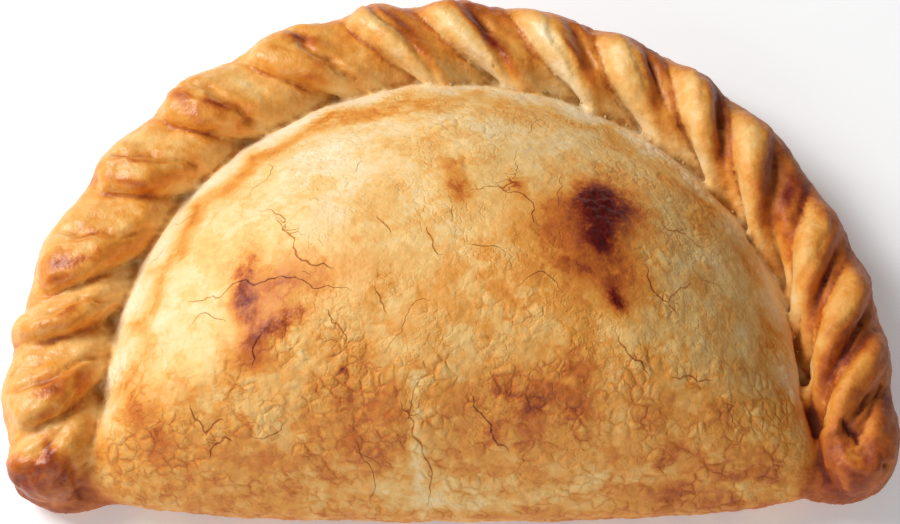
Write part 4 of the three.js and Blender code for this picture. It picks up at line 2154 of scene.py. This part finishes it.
    def _roughness(self, sheet: Sheet, masks: CrustMasks) -> Socket:
        """Make the rope glossier than the dome, and the hollows dull.

        Args:
            sheet: The material's nodes.
            masks: What is where.

        Returns:
            The roughness's output.
        """
        gloss = sheet.field("gloss")
        even = sheet.blend(Mixed.NUMBERS, gloss, self.dull_roughness, self.gloss_roughness)
        uneven = sheet.swing(masks.place, self.uneven_size, detail=3)
        dull = sheet.add_up(
            sheet.math("MULTIPLY", uneven, self.uneven_roughness),
            (masks.deep, self.hollow_dullness),
            (masks.burn, -self.burn_gloss),
        )
        return sheet.math("ADD", even, dull, clamp=True)


@dataclass(frozen=True)
class CrumbFinish:
    """Dry pale dough."""

    colour: tuple[int, int, int] = (204, 168, 116)
    roughness: float = 0.8

    def material(self) -> bpy.types.Material:
        """Build the material.

        Returns:
            The material, the same all over.
        """
        material = bpy.data.materials.new("pale_crumb")
        material.use_nodes = True
        shader = material.node_tree.nodes["Principled BSDF"]
        shader.inputs["Base Color"].default_value = linear(*self.colour)
        shader.inputs["Roughness"].default_value = self.roughness
        return material


# Setting


@dataclass
class Studio:
    """Pale floor, soft light from the upper left and from the front, and the camera."""

    elevation: float = math.radians(68)
    distance: float = 387.5 * MM
    target: Triple = (-0.4 * MM, -2.9 * MM, 12 * MM)
    lens: float = 85.0
    nearest: float = 0.01
    floor_size: float = 3.0
    floor_white: float = 0.93
    floor_roughness: float = 0.9
    floor_glow: float = 0.16
    lamps: tuple[tuple[str, Triple, float, float], ...] = (
        ("key", (-0.47, 0.22, 0.51), 0.34, 5.2),
        ("front", (-0.15, -0.62, 0.36), 0.5, 1.6),
    )
    sky: float = 0.2

    def build(self) -> None:
        """Set out the floor, the lights, the sky and the camera."""
        self._floor()
        for lamp in self.lamps:
            self._light(*lamp)
        self._sky()
        self._camera()
        bpy.context.scene.view_settings.view_transform = "Standard"

    def _floor(self) -> None:
        """Lay the floor at the pie's underside."""
        bpy.ops.mesh.primitive_plane_add(size=self.floor_size, location=(0, 0, 0))
        floor = newest("floor")
        material = bpy.data.materials.new("pale_floor")
        material.use_nodes = True
        shader = material.node_tree.nodes["Principled BSDF"]
        shader.inputs["Base Color"].default_value = (*[self.floor_white] * 3, 1)
        shader.inputs["Roughness"].default_value = self.floor_roughness
        shader.inputs["Emission Color"].default_value = WHITE
        shader.inputs["Emission Strength"].default_value = self.floor_glow
        floor.data.materials.append(material)

    def _light(self, name: str, place: Triple, size: float, power: float) -> None:
        """Hang a square lamp that faces the pie.

        Args:
            name: Its name.
            place: Where it hangs.
            size: Its side.
            power: Its power in watts.
        """
        lamp = bpy.data.lights.new(name, "AREA")
        lamp.energy = power
        lamp.size = size
        light = bpy.data.objects.new(name, lamp)
        light.location = place
        light.rotation_euler = (Vector(self.target) - Vector(place)).to_track_quat("-Z", "Y").to_euler()
        bpy.context.scene.collection.objects.link(light)

    def _sky(self) -> None:
        """Light everything evenly from all round."""
        world = bpy.data.worlds.new("studio")
        world.use_nodes = True
        sky = world.node_tree.nodes["Background"]
        sky.inputs["Color"].default_value = WHITE
        sky.inputs["Strength"].default_value = self.sky
        bpy.context.scene.world = world

    def _camera(self) -> None:
        """Look down on the pie from the front."""
        camera_data = bpy.data.cameras.new("camera")
        camera_data.lens = self.lens
        camera_data.clip_start = self.nearest
        camera = bpy.data.objects.new("camera", camera_data)
        back = Vector((0, -math.cos(self.elevation), math.sin(self.elevation)))
        camera.location = Vector(self.target) + back * self.distance
        camera.rotation_euler = (math.pi / 2 - self.elevation, 0, 0)
        bpy.context.scene.collection.objects.link(camera)
        bpy.context.scene.camera = camera


def main() -> None:
    """Build the pie and its setting, and report each piece."""
    logging.basicConfig(level=logging.INFO, format="%(message)s")
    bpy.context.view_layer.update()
    low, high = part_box(NODE)
    dice = Dice(SEED)
    rim = Rim(middle=((low.x + high.x) / 2, low.y + FRONT_DEPTH))
    rope = CrimpedRope(rim, PinchedFolds(rim, Dice(SEED + 1)))
    cracks = CrackLines(Dice(SEED + 2))
    crust = BakedCrust(rim, FilledBody(rim, dice), rope, FrontCorners(rim), cracks).build()
    material = CrustFinish().material(BrowningColours().group(), CrazedPlates().group())
    crumbs = GrooveCrumbs(rim, Dice(SEED + 3)).build(crust)
    for piece, finish in ((crust, material), (crumbs, CrumbFinish().material())):
        piece.data.materials.clear()
        piece.data.materials.append(finish)
        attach(piece, BODY)
        LOG.info("%s: %d faces", piece.name, len(piece.data.polygons))
    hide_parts(NODE)
    Studio().build()
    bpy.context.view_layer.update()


if __name__ == "__main__":
    main()
